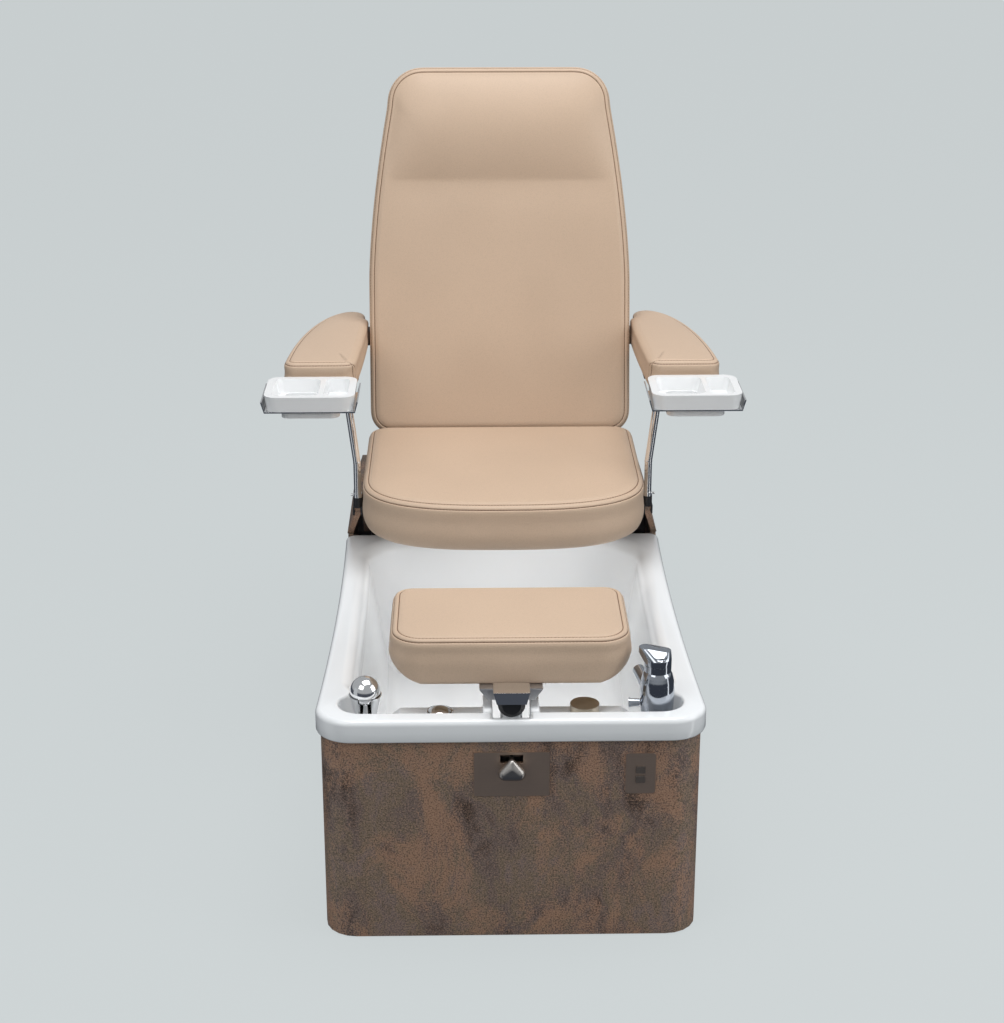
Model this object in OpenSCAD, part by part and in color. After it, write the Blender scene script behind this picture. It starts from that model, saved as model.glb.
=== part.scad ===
// Pedicure bench: a foot tub on a clad base, a footrest on a rising column, a sliding and
// reclining chair with lifting armrests, and two swinging trays. Millimetres, +Z up.
// The pieces are laid out with y = 0 at the front of the cabinet and are then moved so that
// the origin is the middle of the object's underside.

/* [Base] */
// Width of the cabinet across its front
base_w = 700; // [690:1:716]
// Length of the cabinet under the tub
base_len = 928; // [915:1:940]
// Length of the rear cabinet that carries the chair
rear_len = 370; // [360:1:390]
// Radius of the cabinet's front corners
corner_r = 60; // [50:1:70]
// Thickness of the cladding boards
panel_t = 12; // [9:0.5:14]
// Gap between the cladding and the floor
skirt_gap = 3; // [2:0.5:6]
// Height of the levelling feet
foot_h = 20; // [16:1:24]
// Side of the square frame tube
rail = 30; // [26:1:32]
// Wall of the frame tube
rail_wall = 2; // [1.5:0.5:3]

/* [Tub] */
// Height of the tub's rim above the floor
rim_z = 455; // [450:1:465]
// Height of the rim's turned-down lip
lip_h = 44; // [38:1:50]
// Thickness of the lip
lip_t = 6; // [5:0.5:7]
// How far the lip stands out from the cabinet
lip_over = 8.5; // [8:0.5:12]
// Thickness of the flat rim
rim_t = 8; // [7:0.5:10]
// Thickness of the tub's wall
tub_t = 6; // [5:0.5:7]
// How far the long sides draw in at the middle
waist = 8; // [4:0.5:12]
// Width of the basin at its mouth, inside the rounded edge
basin_w = 580; // [570:1:590]
// Where the basin starts behind the front deck
basin_front = 106; // [102:1:112]
// Width of the rim behind the basin
rim_back = 44; // [40:1:50]
// Depth of the basin
basin_depth = 283; // [265:1:290]
// How far the basin's walls slope in
basin_slope = 35; // [25:1:45]
// Depth of the two ledges of the front deck below the rim
ledge_drop = 25; // [22:1:30]
// Depth of the deck's end pockets below the rim
pocket_drop = 50; // [46:1:54]
// Width of the front rim, from the cabinet's face
front_rim = 28; // [26:1:32]
// Half length of the front deck's pocket
pocket_half = 317; // [315:1:320]

/* [Footrest] */
// Width of the footrest pad
pad_w = 450; // [430:1:455]
// Length of the footrest pad
pad_len = 262; // [250:1:270]
// Thickness of the footrest pad
pad_t = 93; // [85:1:100]
// Where the pad's front edge lies behind the cabinet's face
pad_front = 62; // [58:1:66]
// Height of the pad's underside
pad_z = 493; // [491:1:497]
// Side of the square column
column_w = 40; // [36:1:42]
// Wall of the column and of its guide
column_wall = 3; // [2.5:0.5:3.5]
// How far the column rises
column_travel = 120; // [90:5:125]
// Diameter of the clamp knob
clamp_d = 50; // [44:1:52]

/* [Fixtures] */
// Place of the mixer to the right of the middle
mixer_x = 269; // [266:1:271]
// Greatest radius of the mixer's body
mixer_r = 32; // [29:1:32]
// Height of the mixer's body above the deck
mixer_h = 110; // [104:1:114]
// Place of the hand shower to the left of the middle
shower_x = 267; // [265:1:269]
// Radius of the hand shower's head
shower_r = 28; // [24:1:29]
// Place of the drain knob to the right of the middle
drain_knob_x = 136; // [130:1:142]
// Diameter of the drain knob
drain_knob_d = 54; // [46:1:56]
// Place of the jet button to the left of the middle
jet_button_x = 131; // [125:1:137]
// Diameter of the jet button's ring
jet_ring_d = 50; // [46:1:54]
// Radius of the basin's waste pipe
waste_r = 20; // [18:0.5:21]
// Radius of the water inlet tails
inlet_r = 10.5; // [9:0.5:11]
// Width of the release lever's plate
lever_plate_w = 138; // [128:1:146]
// Height of the release lever's plate
lever_plate_h = 89; // [84:1:94]
// Width of the switch plate
switch_plate_w = 55; // [52:1:60]
// Height of the switch plate
switch_plate_h = 82; // [78:1:88]

/* [Seat] */
// Width of the seat cushion
seat_w = 604; // [585:1:605]
// Length of the seat cushion
seat_len = 538; // [524:1:540]
// Thickness of the seat cushion
seat_t = 105; // [95:1:108]
// Height of the seat cushion's underside
seat_z = 530; // [526:1:536]
// Thickness of the seat pan
pan_t = 12; // [9:1:14]
// How far the seat slides back
seat_travel = 120; // [90:5:125]

/* [Backrest] */
// Greatest width of the back cushion
back_w = 600; // [590:1:604]
// Width of the back cushion near its top
back_top_w = 508; // [488:1:524]
// Length of the back cushion
back_len = 815; // [800:1:830]
// Thickness of the back cushion
back_t = 90; // [80:1:95]
// Thickness of the back board
board_t = 14; // [12:1:16]
// Lean of the backrest from upright, in degrees
lean = 14; // [12:0.5:15]

/* [Armrests] */
// Length of an armrest pad
arm_len = 440; // [425:1:445]
// Thickness of an armrest pad
arm_t = 70; // [62:1:74]
// Height of an armrest pad's underside
arm_z = 790; // [788:1:793]
// Half distance between the pads at the back
arm_in = 302; // [301.5:0.5:306]
// Width of an armrest pad at its front
arm_w = 157; // [145:1:160]
// Width of the steel bar under an armrest pad, from the pad's inner side
arm_back_w = 70; // [62:1:80]

/* [Trays] */
// Width of a tray
tray_w = 190; // [180:1:194]
// Length of a tray from front to back
tray_len = 150; // [140:1:152]
// Height of the tray's rim wall
tray_h = 33; // [30:1:35]
// Depth of the bowl under the tray's rim wall
bowl_h = 20; // [16:1:22]
// Height of a tray's rim above the floor
tray_z = 830; // [825:1:835]
// Distance of a tray's middle from the bench's middle
tray_x = 406; // [404:1:412]
// Radius of the tray arm's tube
arm_tube_r = 8; // [7.5:0.5:9]
// Distance of a tray post from the bench's middle
post_x = 315; // [314:1:317]

/* [Hidden] */

$fn = 48;
// Steps in a quarter turn of a swept outline
arc_steps = 5;
// Overrun of every cut
over = 1;
// Gap of a running fit, on the radius
fit = 0.05;
// Gap of parts that slide or lie beside each other
gap = 0.3;
// Gap round a part that passes through a panel
clear = 1.5;
// Radius that stands for a sharp corner in soft outlines
small_r = 6;

// Places that follow from the driving sizes
foot_r = 14;
foot_stem_r = 5;
foot_pad_h = 8;
y_back = base_len + rear_len;
half_w = base_w / 2;
rim_half = half_w + lip_over;
rim_front = -lip_over;
rear_narrow = 7;
side_gap = 3;
frame_half = half_w - panel_t - waist - side_gap - rear_narrow / 2;
frame_low = foot_h;
frame_top = foot_h + rail;
deck_low = rim_z - pocket_drop - tub_t;
pocket_z = rim_z - pocket_drop;
ledge_z = rim_z - ledge_drop;
deck_y = (front_rim + basin_front) / 2;
fixture_y = deck_y + small_r;
floor_z = rim_z - basin_depth;
basin_back = base_len - rim_back;
mouth_r = 30;
basin_mid = (basin_front + basin_back) / 2;
back_angle = atan(basin_slope / (basin_depth - 2 * mouth_r));

// The column stands in the notch between the deck's ledges
column_y = front_rim + 10 + column_w / 2;
notch_half = 52;
ledge_end = 210;
ledge_ramp = 25;
guide_w = column_w + 2 * (column_wall + 2 * gap);
column_top = pad_z - 36;
column_len = column_top - frame_top - 80;
bar_z = frame_top + 60;
clamp_z = rim_z + clamp_d / 2 - 0.5;
clamp_y = column_y - column_w / 2 - 10;

// Backrest: a frame of its own, leaning back, with z along the back and y through it
seat_front = 613;
crease = 3;
crease_lap = 1;
back_y = seat_front + seat_len - crease_lap;
back_z = seat_z + seat_t - crease;
hinge_y = 28;
hinge_z = -36;
hinge_r = 16;
pin_r = 6;
tube_d = 20;
arm_pivot_y = back_t + board_t + tube_d / 2;
arm_pivot_z = 211;
frame_inset = 15;
// How far the back cushion reaches down behind the seat
back_drop = 18;
function back_point(y, z) = [back_y + y * cos(lean) + z * sin(lean), back_z - y * sin(lean) + z * cos(lean)];
hinge_at = back_point(hinge_y, hinge_z);
arm_pivot = back_point(arm_pivot_y, arm_pivot_z);
arm_rear = arm_pivot[0] + 34;
arm_front = arm_rear - arm_len;

// The pedestal under the seat: its top board, the rails and the slide
top_t = 18;
slide_h = 30;
ped_low = seat_z - gap - slide_h - top_t;

// Trays, posts and sockets
post_y = 850;
tray_y = post_y - 30;
tray_low = tray_z - tray_h;
ped_top = seat_z + 18;
socket_r = 10;
socket_h = 20;
post_low = ped_top + 3;
post_bend = 650;

// The object's middle, from the lever's grip to the back frame's top edge
grip_reach = 38;
back_reach = back_point(back_t + board_t, back_len - frame_inset)[0];
mid_y = (back_reach - grip_reach) / 2;

module at_origin() { translate([0, -mid_y, 0]) children(); }
module in_back() { at_origin() translate([0, back_y, back_z]) rotate([-lean, 0, 0]) children(); }
module both_sides() { children(); mirror([1, 0, 0]) children(); }
module side(s) { if (s < 0) mirror([1, 0, 0]) children(); else children(); }
module block(from, to) { translate(from) cube([for (i = [0:2]) to[i] - from[i]]); }
module along_y() { rotate([-90, 0, 0]) children(); }
module along_x() { rotate([0, 90, 0]) children(); }

// A rectangle with true round corners, centred
module round_rect(w, l, r) {
    square([w - 2 * r, l], center = true);
    square([w, l - 2 * r], center = true);
    for (sx = [-1, 1], sy = [-1, 1]) translate([sx * (w / 2 - r), sy * (l / 2 - r)]) circle(r);
}
module round_block(w, l, r, h) { linear_extrude(h) round_rect(w, l, r); }
module pipe(r_out, r_in, h) {
    difference() {
        cylinder(r = r_out, h = h);
        translate([0, 0, -over]) cylinder(r = r_in, h = h + 2 * over);
    }
}
// A square tube along z, open at both ends
module square_tube(w, wall, h) {
    difference() {
        translate([-w / 2, -w / 2, 0]) cube([w, w, h]);
        translate([wall - w / 2, wall - w / 2, -over]) cube([w - 2 * wall, w - 2 * wall, h + 2 * over]);
    }
}
// A block that tapers from its bottom outline to its top outline
module tapered_block(w, l, r, h, draft) {
    skin = 0.5;
    hull() {
        round_block(w - 2 * draft, l - 2 * draft, r - draft / 2, skin, $fn = 32);
        translate([0, 0, h - skin]) round_block(w, l, r, skin, $fn = 32);
    }
}

// Points on a quarter circle about c from angle a
function arc(c, r, a, n = arc_steps) =
    [for (i = [0:n]) [c[0] + r * cos(a + 90 * i / n), c[1] + r * sin(a + 90 * i / n)]];
// A plan outline: half widths front and back, waist, ends, and corner radii
side_steps = 4;
function plan(h0, h1, w, y0, y1, r0, r1) = let (
        ya = y0 + r0, yb = y1 - r1,
        run = [for (i = [1:side_steps - 1]) let (t = i / side_steps)
            [h0 + (h1 - h0) * t - w * 4 * t * (1 - t), ya + (yb - ya) * t]])
    concat(arc([r0 - h0, ya], r0, 180), arc([h0 - r0, ya], r0, 270), run,
        arc([h1 - r1, yb], r1, 0), arc([r1 - h1, yb], r1, 90),
        [for (i = [len(run) - 1:-1:0]) [-run[i][0], run[i][1]]]);
function lift(ring, z) = [for (p = ring) [p[0], p[1], z]];

// A closed solid through rings of points, with a middle point at each end
module loft(rings) {
    n = len(rings[0]);
    m = len(rings);
    pts = [for (ring = rings, p = ring) p];
    low = [for (i = [0:2]) let (c = [for (p = rings[0]) p[i]]) (max(c) + min(c)) / 2];
    high = [for (i = [0:2]) let (c = [for (p = rings[m - 1]) p[i]]) (max(c) + min(c)) / 2];
    sides = [for (k = [0:m - 2], i = [0:n - 1]) let (j = (i + 1) % n)
        each [[k * n + i, (k + 1) * n + i, k * n + j], [k * n + j, (k + 1) * n + i, (k + 1) * n + j]]];
    ends = [for (i = [0:n - 1]) let (j = (i + 1) % n)
        each [[n * m, i, j], [n * m + 1, (m - 1) * n + j, (m - 1) * n + i]]];
    polyhedron(points = concat(pts, [low, high]), faces = concat(sides, ends));
}
// A cushion: an outline drawn in by the first number of each step, at the height of the second;
// a third number draws the front and back in by another amount
module cushion(outline, steps) { loft([for (s = steps) lift(outline(s[0], s[2] == undef ? s[0] : s[2]), s[1])]); }
// Steps of a cushion's side: drawn in under its top seam and turned in at its foot
function cushion_steps(t, foot, edge, draw, crown, span) = [
    [foot, 0], [foot * 0.35, t * 0.10], [0, t * 0.32], [draw, t * 0.62], [edge * 0.2, t * 0.86],
    [edge, t * 0.96], [edge * 2.4, t + crown * 0.25], [span * 0.45, t + crown * 0.75], [span, t + crown]];

// A round tube swept along a smooth route through hand-placed points
function blend(a, b, c, d, t) = 0.5 * ((2 * b) + (c - a) * t + (2 * a - 5 * b + 4 * c - d) * t * t
    + (3 * b - a - 3 * c + d) * t * t * t);
function smooth(p, n) = let (m = len(p)) concat([for (k = [0:m - 2], i = [0:n - 1])
    blend(p[max(k - 1, 0)], p[k], p[k + 1], p[min(k + 2, m - 1)], i / n)], [p[m - 1]]);
function unit(v) = v / norm(v);
function turn(q, i, n) = let (u = unit(n - (n * q[i]) * q[i]))
    i == len(q) - 1 ? [u] : concat([u], turn(q, i + 1, u));
module hose(path, r, n = 3) {
    p = smooth(path, n);
    m = len(p);
    q = [for (i = [0:m - 1]) unit(p[min(i + 1, m - 1)] - p[max(i - 1, 0)])];
    u = turn(q, 0, [1, 0.01, 0.02]);
    loft([for (i = [0:m - 1]) [for (a = [0:45:315]) p[i] + r * (cos(a) * u[i] - sin(a) * cross(q[i], u[i]))]]);
}

// Base: welded frame of square tube, feet and cladding
module bar_y(x, y0, y1, z) {
    translate([x, y0, z + rail / 2]) along_y() square_tube(rail, rail_wall, y1 - y0);
}
module bar_x(x0, x1, y, z) {
    translate([x0, y, z + rail / 2]) along_x() square_tube(rail, rail_wall, x1 - x0);
}
module upright(x, y, z0, z1) { translate([x, y, z0]) square_tube(rail, rail_wall, z1 - z0); }
rail_x = frame_half - rail / 2;
// Room for the rounded rear corners of the cabinet
corner_room = 8;
rear_bar_y = y_back - panel_t - side_gap - rail / 2 - corner_room;
mid_bar_y = base_len - rail;
rib_front = basin_front + rail;
rib_z = rim_z - rim_t - 3 * rail;
module base_frame() {
    color("dimgray") at_origin() {
        both_sides() {
            bar_y(rail_x, column_y + rail / 2, rear_bar_y - rail / 2, frame_low);
            upright(rail_x, column_y, frame_top, deck_low - over - gap);
            upright(rail_x, rib_front + rail / 2, frame_top, rib_z);
            upright(rail_x, mid_bar_y, frame_top, rim_z - rim_t - gap);
            bar_y(rail_x, rib_front, mid_bar_y - rail / 2, rib_z);
            upright(rail_x, rear_bar_y - 2 * rail, frame_top, ped_low);
            upright(rail_x, mid_bar_y + 3 * rail, frame_top, ped_low);
            bar_x(guide_w / 2, rail_x - rail / 2, column_y, bar_z);
        }
        for (y = [column_y, rear_bar_y]) bar_x(-rail_x - rail / 2, rail_x + rail / 2, y, frame_low);
        bar_x(-rail_x + rail / 2, rail_x - rail / 2, mid_bar_y + 2 * rail, frame_low);
    }
}
module levelling_feet() {
    color("silver") at_origin()
        for (x = [-rail_x, rail_x], y = [column_y, mid_bar_y, rear_bar_y]) translate([x, y, 0]) {
            cylinder(r = foot_r, h = foot_pad_h);
            cylinder(r = foot_stem_r, h = foot_h);
        }
}
function skirt_plan(d) = plan(half_w - d, half_w - rear_narrow - d, waist, d, base_len, corner_r - d, 1);
// Radius of the lip at its rear corners
lip_rear_r = 20;
skirt_top = rim_z - rim_t - gap;
lever_z = 343.5;
slot_w = 42;
slot_h = 17;
slot_z = lever_z + 31;
switch_x = 235.5;
switch_z = 343;
box_w = switch_plate_w - 12;
box_h = switch_plate_h - 20;
lever_hole_w = slot_w + 16;
lever_hole_h = slot_h + 8;
module cabinet_skirt() {
    color("#6b5547") at_origin() difference() {
        translate([0, 0, skirt_gap]) linear_extrude(skirt_top - skirt_gap) polygon(skirt_plan(0));
        translate([0, 0, skirt_gap - over]) linear_extrude(skirt_top + 2 * over) {
            polygon(skirt_plan(panel_t));
            translate([panel_t - half_w, base_len - 2 * panel_t]) square([base_w - 2 * panel_t, 3 * panel_t]);
        }
        block([-notch_in - tub_t - side_gap, -over, rim_z - notch_drop - tub_t - gap],
            [notch_in + tub_t + side_gap, panel_t + over, rim_z]);
        block([-half_w - over, base_len - lip_rear_r - gap, rim_z - lip_h - gap], [half_w + over, base_len + over, rim_z]);
        translate([0, -over, slot_z]) along_y()
            linear_extrude(panel_t + 2 * over) square([lever_hole_w, lever_hole_h], center = true);
        translate([switch_x, -over, switch_z]) along_y()
            linear_extrude(panel_t + 2 * over) square([box_w + 2 * gap, box_h + 2 * gap], center = true);
    }
}
cover_w = 540;
cover_low = 60;
cover_high = 420;
rear_r = 40;
rear_half = half_w - rear_narrow;
rear_front = base_len + gap;
module rear_cabinet() {
    color("#6b5547") at_origin() difference() {
        translate([0, 0, skirt_gap]) linear_extrude(rim_z - skirt_gap)
            polygon(plan(rear_half, rear_half, 0, rear_front, y_back, 1, rear_r));
        translate([0, 0, skirt_gap - over]) linear_extrude(rim_z - panel_t - skirt_gap + over)
            polygon(plan(rear_half - panel_t, rear_half - panel_t, 0, rear_front - panel_t,
                y_back - panel_t, 1, rear_r - panel_t));
        block([panel_t - rear_half, rear_front - over, rim_z / 2], [rear_half - panel_t, ped_rear - 3 * panel_t, rim_z + over]);
        block([-cover_w / 2, y_back - 2 * panel_t, cover_low], [cover_w / 2, y_back + over, cover_high]);
    }
}
inlet_x = 150;
inlet_gap = 60;
outlet_z = 100;
gland_x = -200;
gland_r = 8;
vent_w = 6;
lap = 15;
cover_t = 3;
module rear_cover() {
    color("silver") at_origin() difference() {
        translate([0, y_back + gap, (cover_low + cover_high) / 2]) along_y()
            round_block(cover_w + 2 * lap, cover_high - cover_low + 2 * lap, small_r, cover_t);
        translate([0, y_back - over, outlet_z]) along_y() cylinder(r = waste_r + clear, h = 3 * cover_t);
        for (x = inlet_places) translate([x, y_back - over, outlet_z]) along_y()
            cylinder(r = inlet_r + fit, h = 3 * cover_t);
        translate([gland_x, y_back - over, outlet_z]) along_y() cylinder(r = gland_r + fit, h = 3 * cover_t);
        for (i = [0:7]) translate([0, y_back - over, cover_high - 60 - i * 3 * vent_w]) along_y()
            linear_extrude(3 * cover_t) square([cover_w / 2, vent_w], center = true);
        for (p = cover_screw_places) translate([p[0], y_back - over, p[1]]) along_y()
            cylinder(r = screw_r + fit, h = 3 * cover_t);
    }
}
inlet_places = [inlet_x, inlet_x + inlet_gap];
screw_r = 2.5;
screw_head_r = 5;
screw_head_h = 2.5;
screw_inset = 7.5;
cover_screw_places = [for (sx = [-1, 1], z = [cover_low - screw_inset, cover_high + screw_inset])
    [sx * (cover_w / 2 - 3 * lap), z]];
module cover_screws() {
    color("silver") at_origin() for (p = cover_screw_places)
        translate([p[0], y_back + gap + cover_t, p[1]]) along_y() {
            cylinder(r = screw_head_r, h = screw_head_h);
            translate([0, 0, -cover_t - gap]) cylinder(r = screw_r, h = cover_t + gap + screw_head_h);
        }
}

// Tub: outer lip, flat rim, basin and the front deck
function lip_plan(d) = plan(rim_half - d, rim_half - rear_narrow - d, waist, rim_front + d, base_len - d,
    corner_r + lip_over - d, lip_rear_r - d / 2);
function basin_plan(d) = plan(basin_w / 2 - d, basin_w / 2 - d, waist / 2, basin_front + d, basin_back - d,
    max(90 - d, small_r), max(90 - d, small_r));
// The mouth above the deck reaches forward to the front rim
function mouth_plan(d, y0) = plan(basin_w / 2 - d, basin_w / 2 - d, waist / 2, y0, basin_back - d,
    max(pocket_r - d, small_r), max(90 - d, small_r));
wall_foot = 2 * mouth_r;
slope_at_deck = basin_slope * (rim_z - mouth_r - pocket_z) / (basin_depth - 2 * mouth_r);
module tub_body() {
    loft([
        lift(basin_plan(basin_slope + wall_foot / 2 - tub_t), floor_z - tub_t),
        lift(basin_plan(basin_slope + 6 - tub_t), floor_z + 8),
        lift(basin_plan(basin_slope - tub_t), floor_z + mouth_r),
        lift(basin_plan(slope_at_deck - tub_t), deck_low - over),
        lift(mouth_plan(slope_at_deck - tub_t, front_rim - tub_t), deck_low),
        lift(mouth_plan(-tub_t, front_rim - tub_t), rim_z - mouth_r - tub_t / 2),
        lift(mouth_plan(-mouth_r - tub_t / 2, front_rim - tub_t - 4), rim_z - rim_t),
        lift(lip_plan(lip_t), rim_z - rim_t),
        lift(lip_plan(lip_t), rim_z - lip_h + lip_t / 2),
        lift(lip_plan(lip_t / 2), rim_z - lip_h),
        lift(lip_plan(0), rim_z - lip_h + lip_t),
        lift(lip_plan(0), rim_z - 11),
        lift(lip_plan(3), rim_z - 3.5),
        lift(lip_plan(11), rim_z),
        lift(mouth_plan(-mouth_r, front_rim - 4), rim_z),
        lift(mouth_plan(-mouth_r * 0.38, front_rim - 1), rim_z - mouth_r * 0.2),
        lift(mouth_plan(0, front_rim), rim_z - mouth_r),
        lift(mouth_plan(slope_at_deck, front_rim), pocket_z),
        lift(basin_plan(slope_at_deck), pocket_z - over),
        lift(basin_plan(basin_slope), floor_z + mouth_r),
        lift(basin_plan(basin_slope + 8), floor_z + 9),
        lift(basin_plan(basin_slope + wall_foot / 2), floor_z)]);
}
module ledge(w0, w1, d, top, low) {
    translate([0, basin_front, 0]) rotate([90, 0, 0]) linear_extrude(basin_front - front_rim + tub_t / 2 - d)
        polygon([[w0 + d, low], [w1 + ledge_ramp - d, low], [w1 - d, top - d], [w0 + d, top - d]]);
}
// A point on or behind the sloping back wall
function wall_out(p, d) = [p[0], basin_back + d * cos(back_angle)
    - basin_slope * (rim_z - mouth_r - p[1]) / (basin_depth - 2 * mouth_r), p[1] - d * sin(back_angle)];
module on_back_wall(x, z) {
    translate(wall_out([x, z], 0)) rotate([-90 - back_angle, 0, 0]) children();
}
jet_r = 15;
jets = [[-180, floor_z + 120], [180, floor_z + 120]];
suction_at = [-130, floor_z + 75];
pocket_r = 38;
pocket_len = 90;
notch_in = 34;
notch_drop = 12;
button_r = 16;
shank_r = 17;
holder_shank_r = 15;
drain_r = 24;
module tub_shell() {
    color("white") at_origin() difference() {
        union() {
            difference() {
                union() {
                    tub_body();
                    difference() {
                        translate([0, deck_y + small_r, deck_low])
                            round_block(2 * (pocket_half + tub_t), pocket_len + 2 * tub_t, pocket_len / 2 + tub_t - 1,
                                pocket_drop + tub_t - rim_t / 2);
                        translate([0, 0, deck_low - over]) linear_extrude(pocket_drop) polygon(basin_plan(small_r));
                        translate([0, 0, pocket_z]) linear_extrude(pocket_drop)
                            polygon(mouth_plan(small_r, front_rim + small_r));
                    }
                }
                translate([0, deck_y + small_r, pocket_z])
                    round_block(2 * pocket_half, pocket_len, pocket_len / 2 - 1, pocket_drop + over);
            }
            both_sides() {
                ledge(notch_half, ledge_end, 0, ledge_z, deck_low);
                block([notch_in, front_rim - over, deck_low], [notch_half, basin_front, rim_z - over]);
            }
            block([-notch_in - tub_t, -over, rim_z - notch_drop - tub_t],
                [notch_in + tub_t, front_rim, rim_z - rim_t + over]);
        }
        both_sides() translate([0, -tub_t, -2 * over])
            ledge(notch_half, ledge_end, tub_t, ledge_z, deck_low);
        block([-notch_in, 2, rim_z - notch_drop], [notch_in, front_rim + 2 * over, rim_z + over]);
        translate([-column_w / 2 - clear, column_y - column_w / 2 - clear, deck_low - over])
            cube([column_w + 2 * clear, column_w + 2 * clear, pocket_drop]);
        translate([mixer_x, fixture_y, deck_low - over]) cylinder(r = shank_r + fit, h = pocket_drop);
        translate([-shower_x, fixture_y, deck_low - over]) cylinder(r = holder_shank_r + fit, h = pocket_drop);
        translate([-jet_button_x, fixture_y, deck_low - over]) cylinder(r = button_r + fit, h = pocket_drop);
        translate([drain_knob_x, fixture_y, deck_low - over]) cylinder(r = knob_stem_r + fit, h = pocket_drop);
        translate([0, basin_mid, floor_z - 2 * tub_t]) cylinder(r = drain_r + fit, h = 4 * tub_t);
        for (p = concat(jets, [suction_at])) on_back_wall(p[0], p[1])
            translate([0, 0, -2 * tub_t]) cylinder(r = jet_r + fit, h = 5 * tub_t);
    }
}

// Waste: flange, pop-up plug, knob, cable and trap
flange_r = 36;
flange_t = 3;
drain_low = 42;
plug_stem_r = 6;
spider_w = 9;
plug_lift = 8;
knob_stem_r = 8;
module drain_flange() {
    color("silver") at_origin() translate([0, basin_mid, floor_z]) difference() {
        union() {
            pipe(flange_r, waste_r, flange_t);
            translate([0, 0, -drain_low]) pipe(drain_r, waste_r, drain_low);
            translate([0, 0, -tub_t - gap - 2 * flange_t]) pipe(flange_r - flange_t, drain_r, 2 * flange_t);
            translate([-waste_r - over, -spider_w, -drain_low / 2]) cube([2 * (waste_r + over), 2 * spider_w, flange_t]);
        }
        translate([0, 0, -drain_low]) cylinder(r = plug_stem_r + fit, h = drain_low);
    }
}
module drain_plug() {
    color("silver") at_origin() translate([0, basin_mid, floor_z + flange_t + gap]) {
        cylinder(r = drain_r + flange_t, h = flange_t);
        translate([0, 0, -drain_low + flange_t]) cylinder(r = plug_stem_r, h = drain_low);
    }
}
knob_gap = 4;
module drain_knob() {
    color("#8a7766") at_origin() translate([drain_knob_x, fixture_y, ledge_z + gap]) {
        cylinder(r = drain_knob_d / 2 - 3, h = knob_gap + over);
        translate([0, 0, knob_gap]) cylinder(r = drain_knob_d / 2, h = 15);
        translate([0, 0, -ledge_drop - tub_t]) cylinder(r = knob_stem_r, h = ledge_drop + tub_t + over);
    }
}
cable_r = 3;
trap_r = 30;
spigot_len = 45;
drain_cable_route = [
    [drain_knob_x, fixture_y, deck_low], [136, 73, 380], [136, 76, 340], [134, 80, 240], [128, 100, 165],
    [110, 170, 128], [85, 300, 124], [50, 400, 128], [38, 470, 138], [30, 488, 143], [23, 495, 145]];
module drain_cable() { color("dimgray") at_origin() hose(drain_cable_route, cable_r); }
module waste_trap() {
    color("white") at_origin() translate([0, basin_mid, 0]) {
        difference() {
            union() {
                translate([0, 0, frame_top + 12]) cylinder(r = trap_r, h = floor_z - drain_low - frame_top - 12 - gap);
                translate([0, 0, outlet_z]) along_y()
                    cylinder(r = waste_r - 1, h = y_back - basin_mid + spigot_len - over);
                translate([0, y_back - basin_mid, outlet_z]) along_y() cylinder(r = waste_r, h = spigot_len);
            }
            translate([0, 0, outlet_z]) along_y() translate([0, 0, trap_r - 5])
                cylinder(r = waste_r - 3, h = y_back - basin_mid + spigot_len);
            translate([0, 0, frame_top + 12 + 3]) cylinder(r = trap_r - 3, h = floor_z - drain_low - frame_top - 24);
            translate([0, 0, outlet_z]) cylinder(r = waste_r, h = floor_z);
        }
    }
}

// Jet pump and its hoses, on a plate in the rear cabinet
pump_x = -150;
pump_z = 145;
pump_y = base_len + 100;
pump_r = 60;
motor_len = 150;
port_r = 13;
pump_feet = [20, 120];
module jet_pump() {
    color("dimgray") at_origin() translate([pump_x, pump_y, pump_z]) {
        along_y() cylinder(r = pump_r, h = 60);
        translate([0, 60, 0]) along_y() cylinder(r = pump_r - 12, h = motor_len);
        for (y = [70:20:190]) translate([0, y, 0]) along_y() cylinder(r = pump_r - 6, h = 6);
        translate([0, -25, 0]) along_y() cylinder(r = port_r + 4, h = 30);
        translate([0, 30, 0]) cylinder(r = port_r + 4, h = pump_r + 25);
        translate([0, 30, 65]) along_x() cylinder(r = port_r, h = 40);
        for (y = pump_feet) {
            block([-pump_r / 2, y, frame_top - pump_z], [pump_r / 2, y + 20, -pump_r / 2]);
            block([-rail_x - rail / 2 - pump_x, y, frame_top - pump_z], [rail_x + rail / 2 - pump_x, y + 30, frame_top + 4 - pump_z]);
        }
    }
}
nozzle_len = 28 + gap;
suction_route = [wall_out(suction_at, nozzle_len), wall_out(suction_at, nozzle_len + 15), [-136, 935, 212],
    [-146, 960, 166], [-150, 979, 147], [-150, 990, 145], [-150, 1002.7, 145]];
jet_left_route = [[-150, 1058, 230.3], [-150, 1058, 244], [-150, 1054, 258], [-154, 1030, 278], [-168, 975, 284],
    wall_out(jets[0], nozzle_len + 25), wall_out(jets[0], nozzle_len)];
jet_right_route = [[-109.7, 1058, 210], [-95, 1058, 210], [-75, 1054, 215], [-20, 1030, 245], [110, 985, 278],
    wall_out(jets[1], nozzle_len + 28), wall_out(jets[1], nozzle_len)];
module pump_hoses() {
    color("gray") at_origin() {
        hose(suction_route, port_r);
        hose(jet_left_route, port_r);
        hose(jet_right_route, port_r);
    }
}
module jet_nozzles() {
    color("silver") at_origin() for (p = concat(jets, [suction_at])) on_back_wall(p[0], p[1]) difference() {
        union() {
            translate([0, 0, -4]) cylinder(r = jet_r + 8, h = 4 - gap);
            translate([0, 0, -4]) cylinder(r = jet_r, h = 32);
        }
        translate([0, 0, -5]) cylinder(r = jet_r - 7, h = 20);
    }
}

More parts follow.
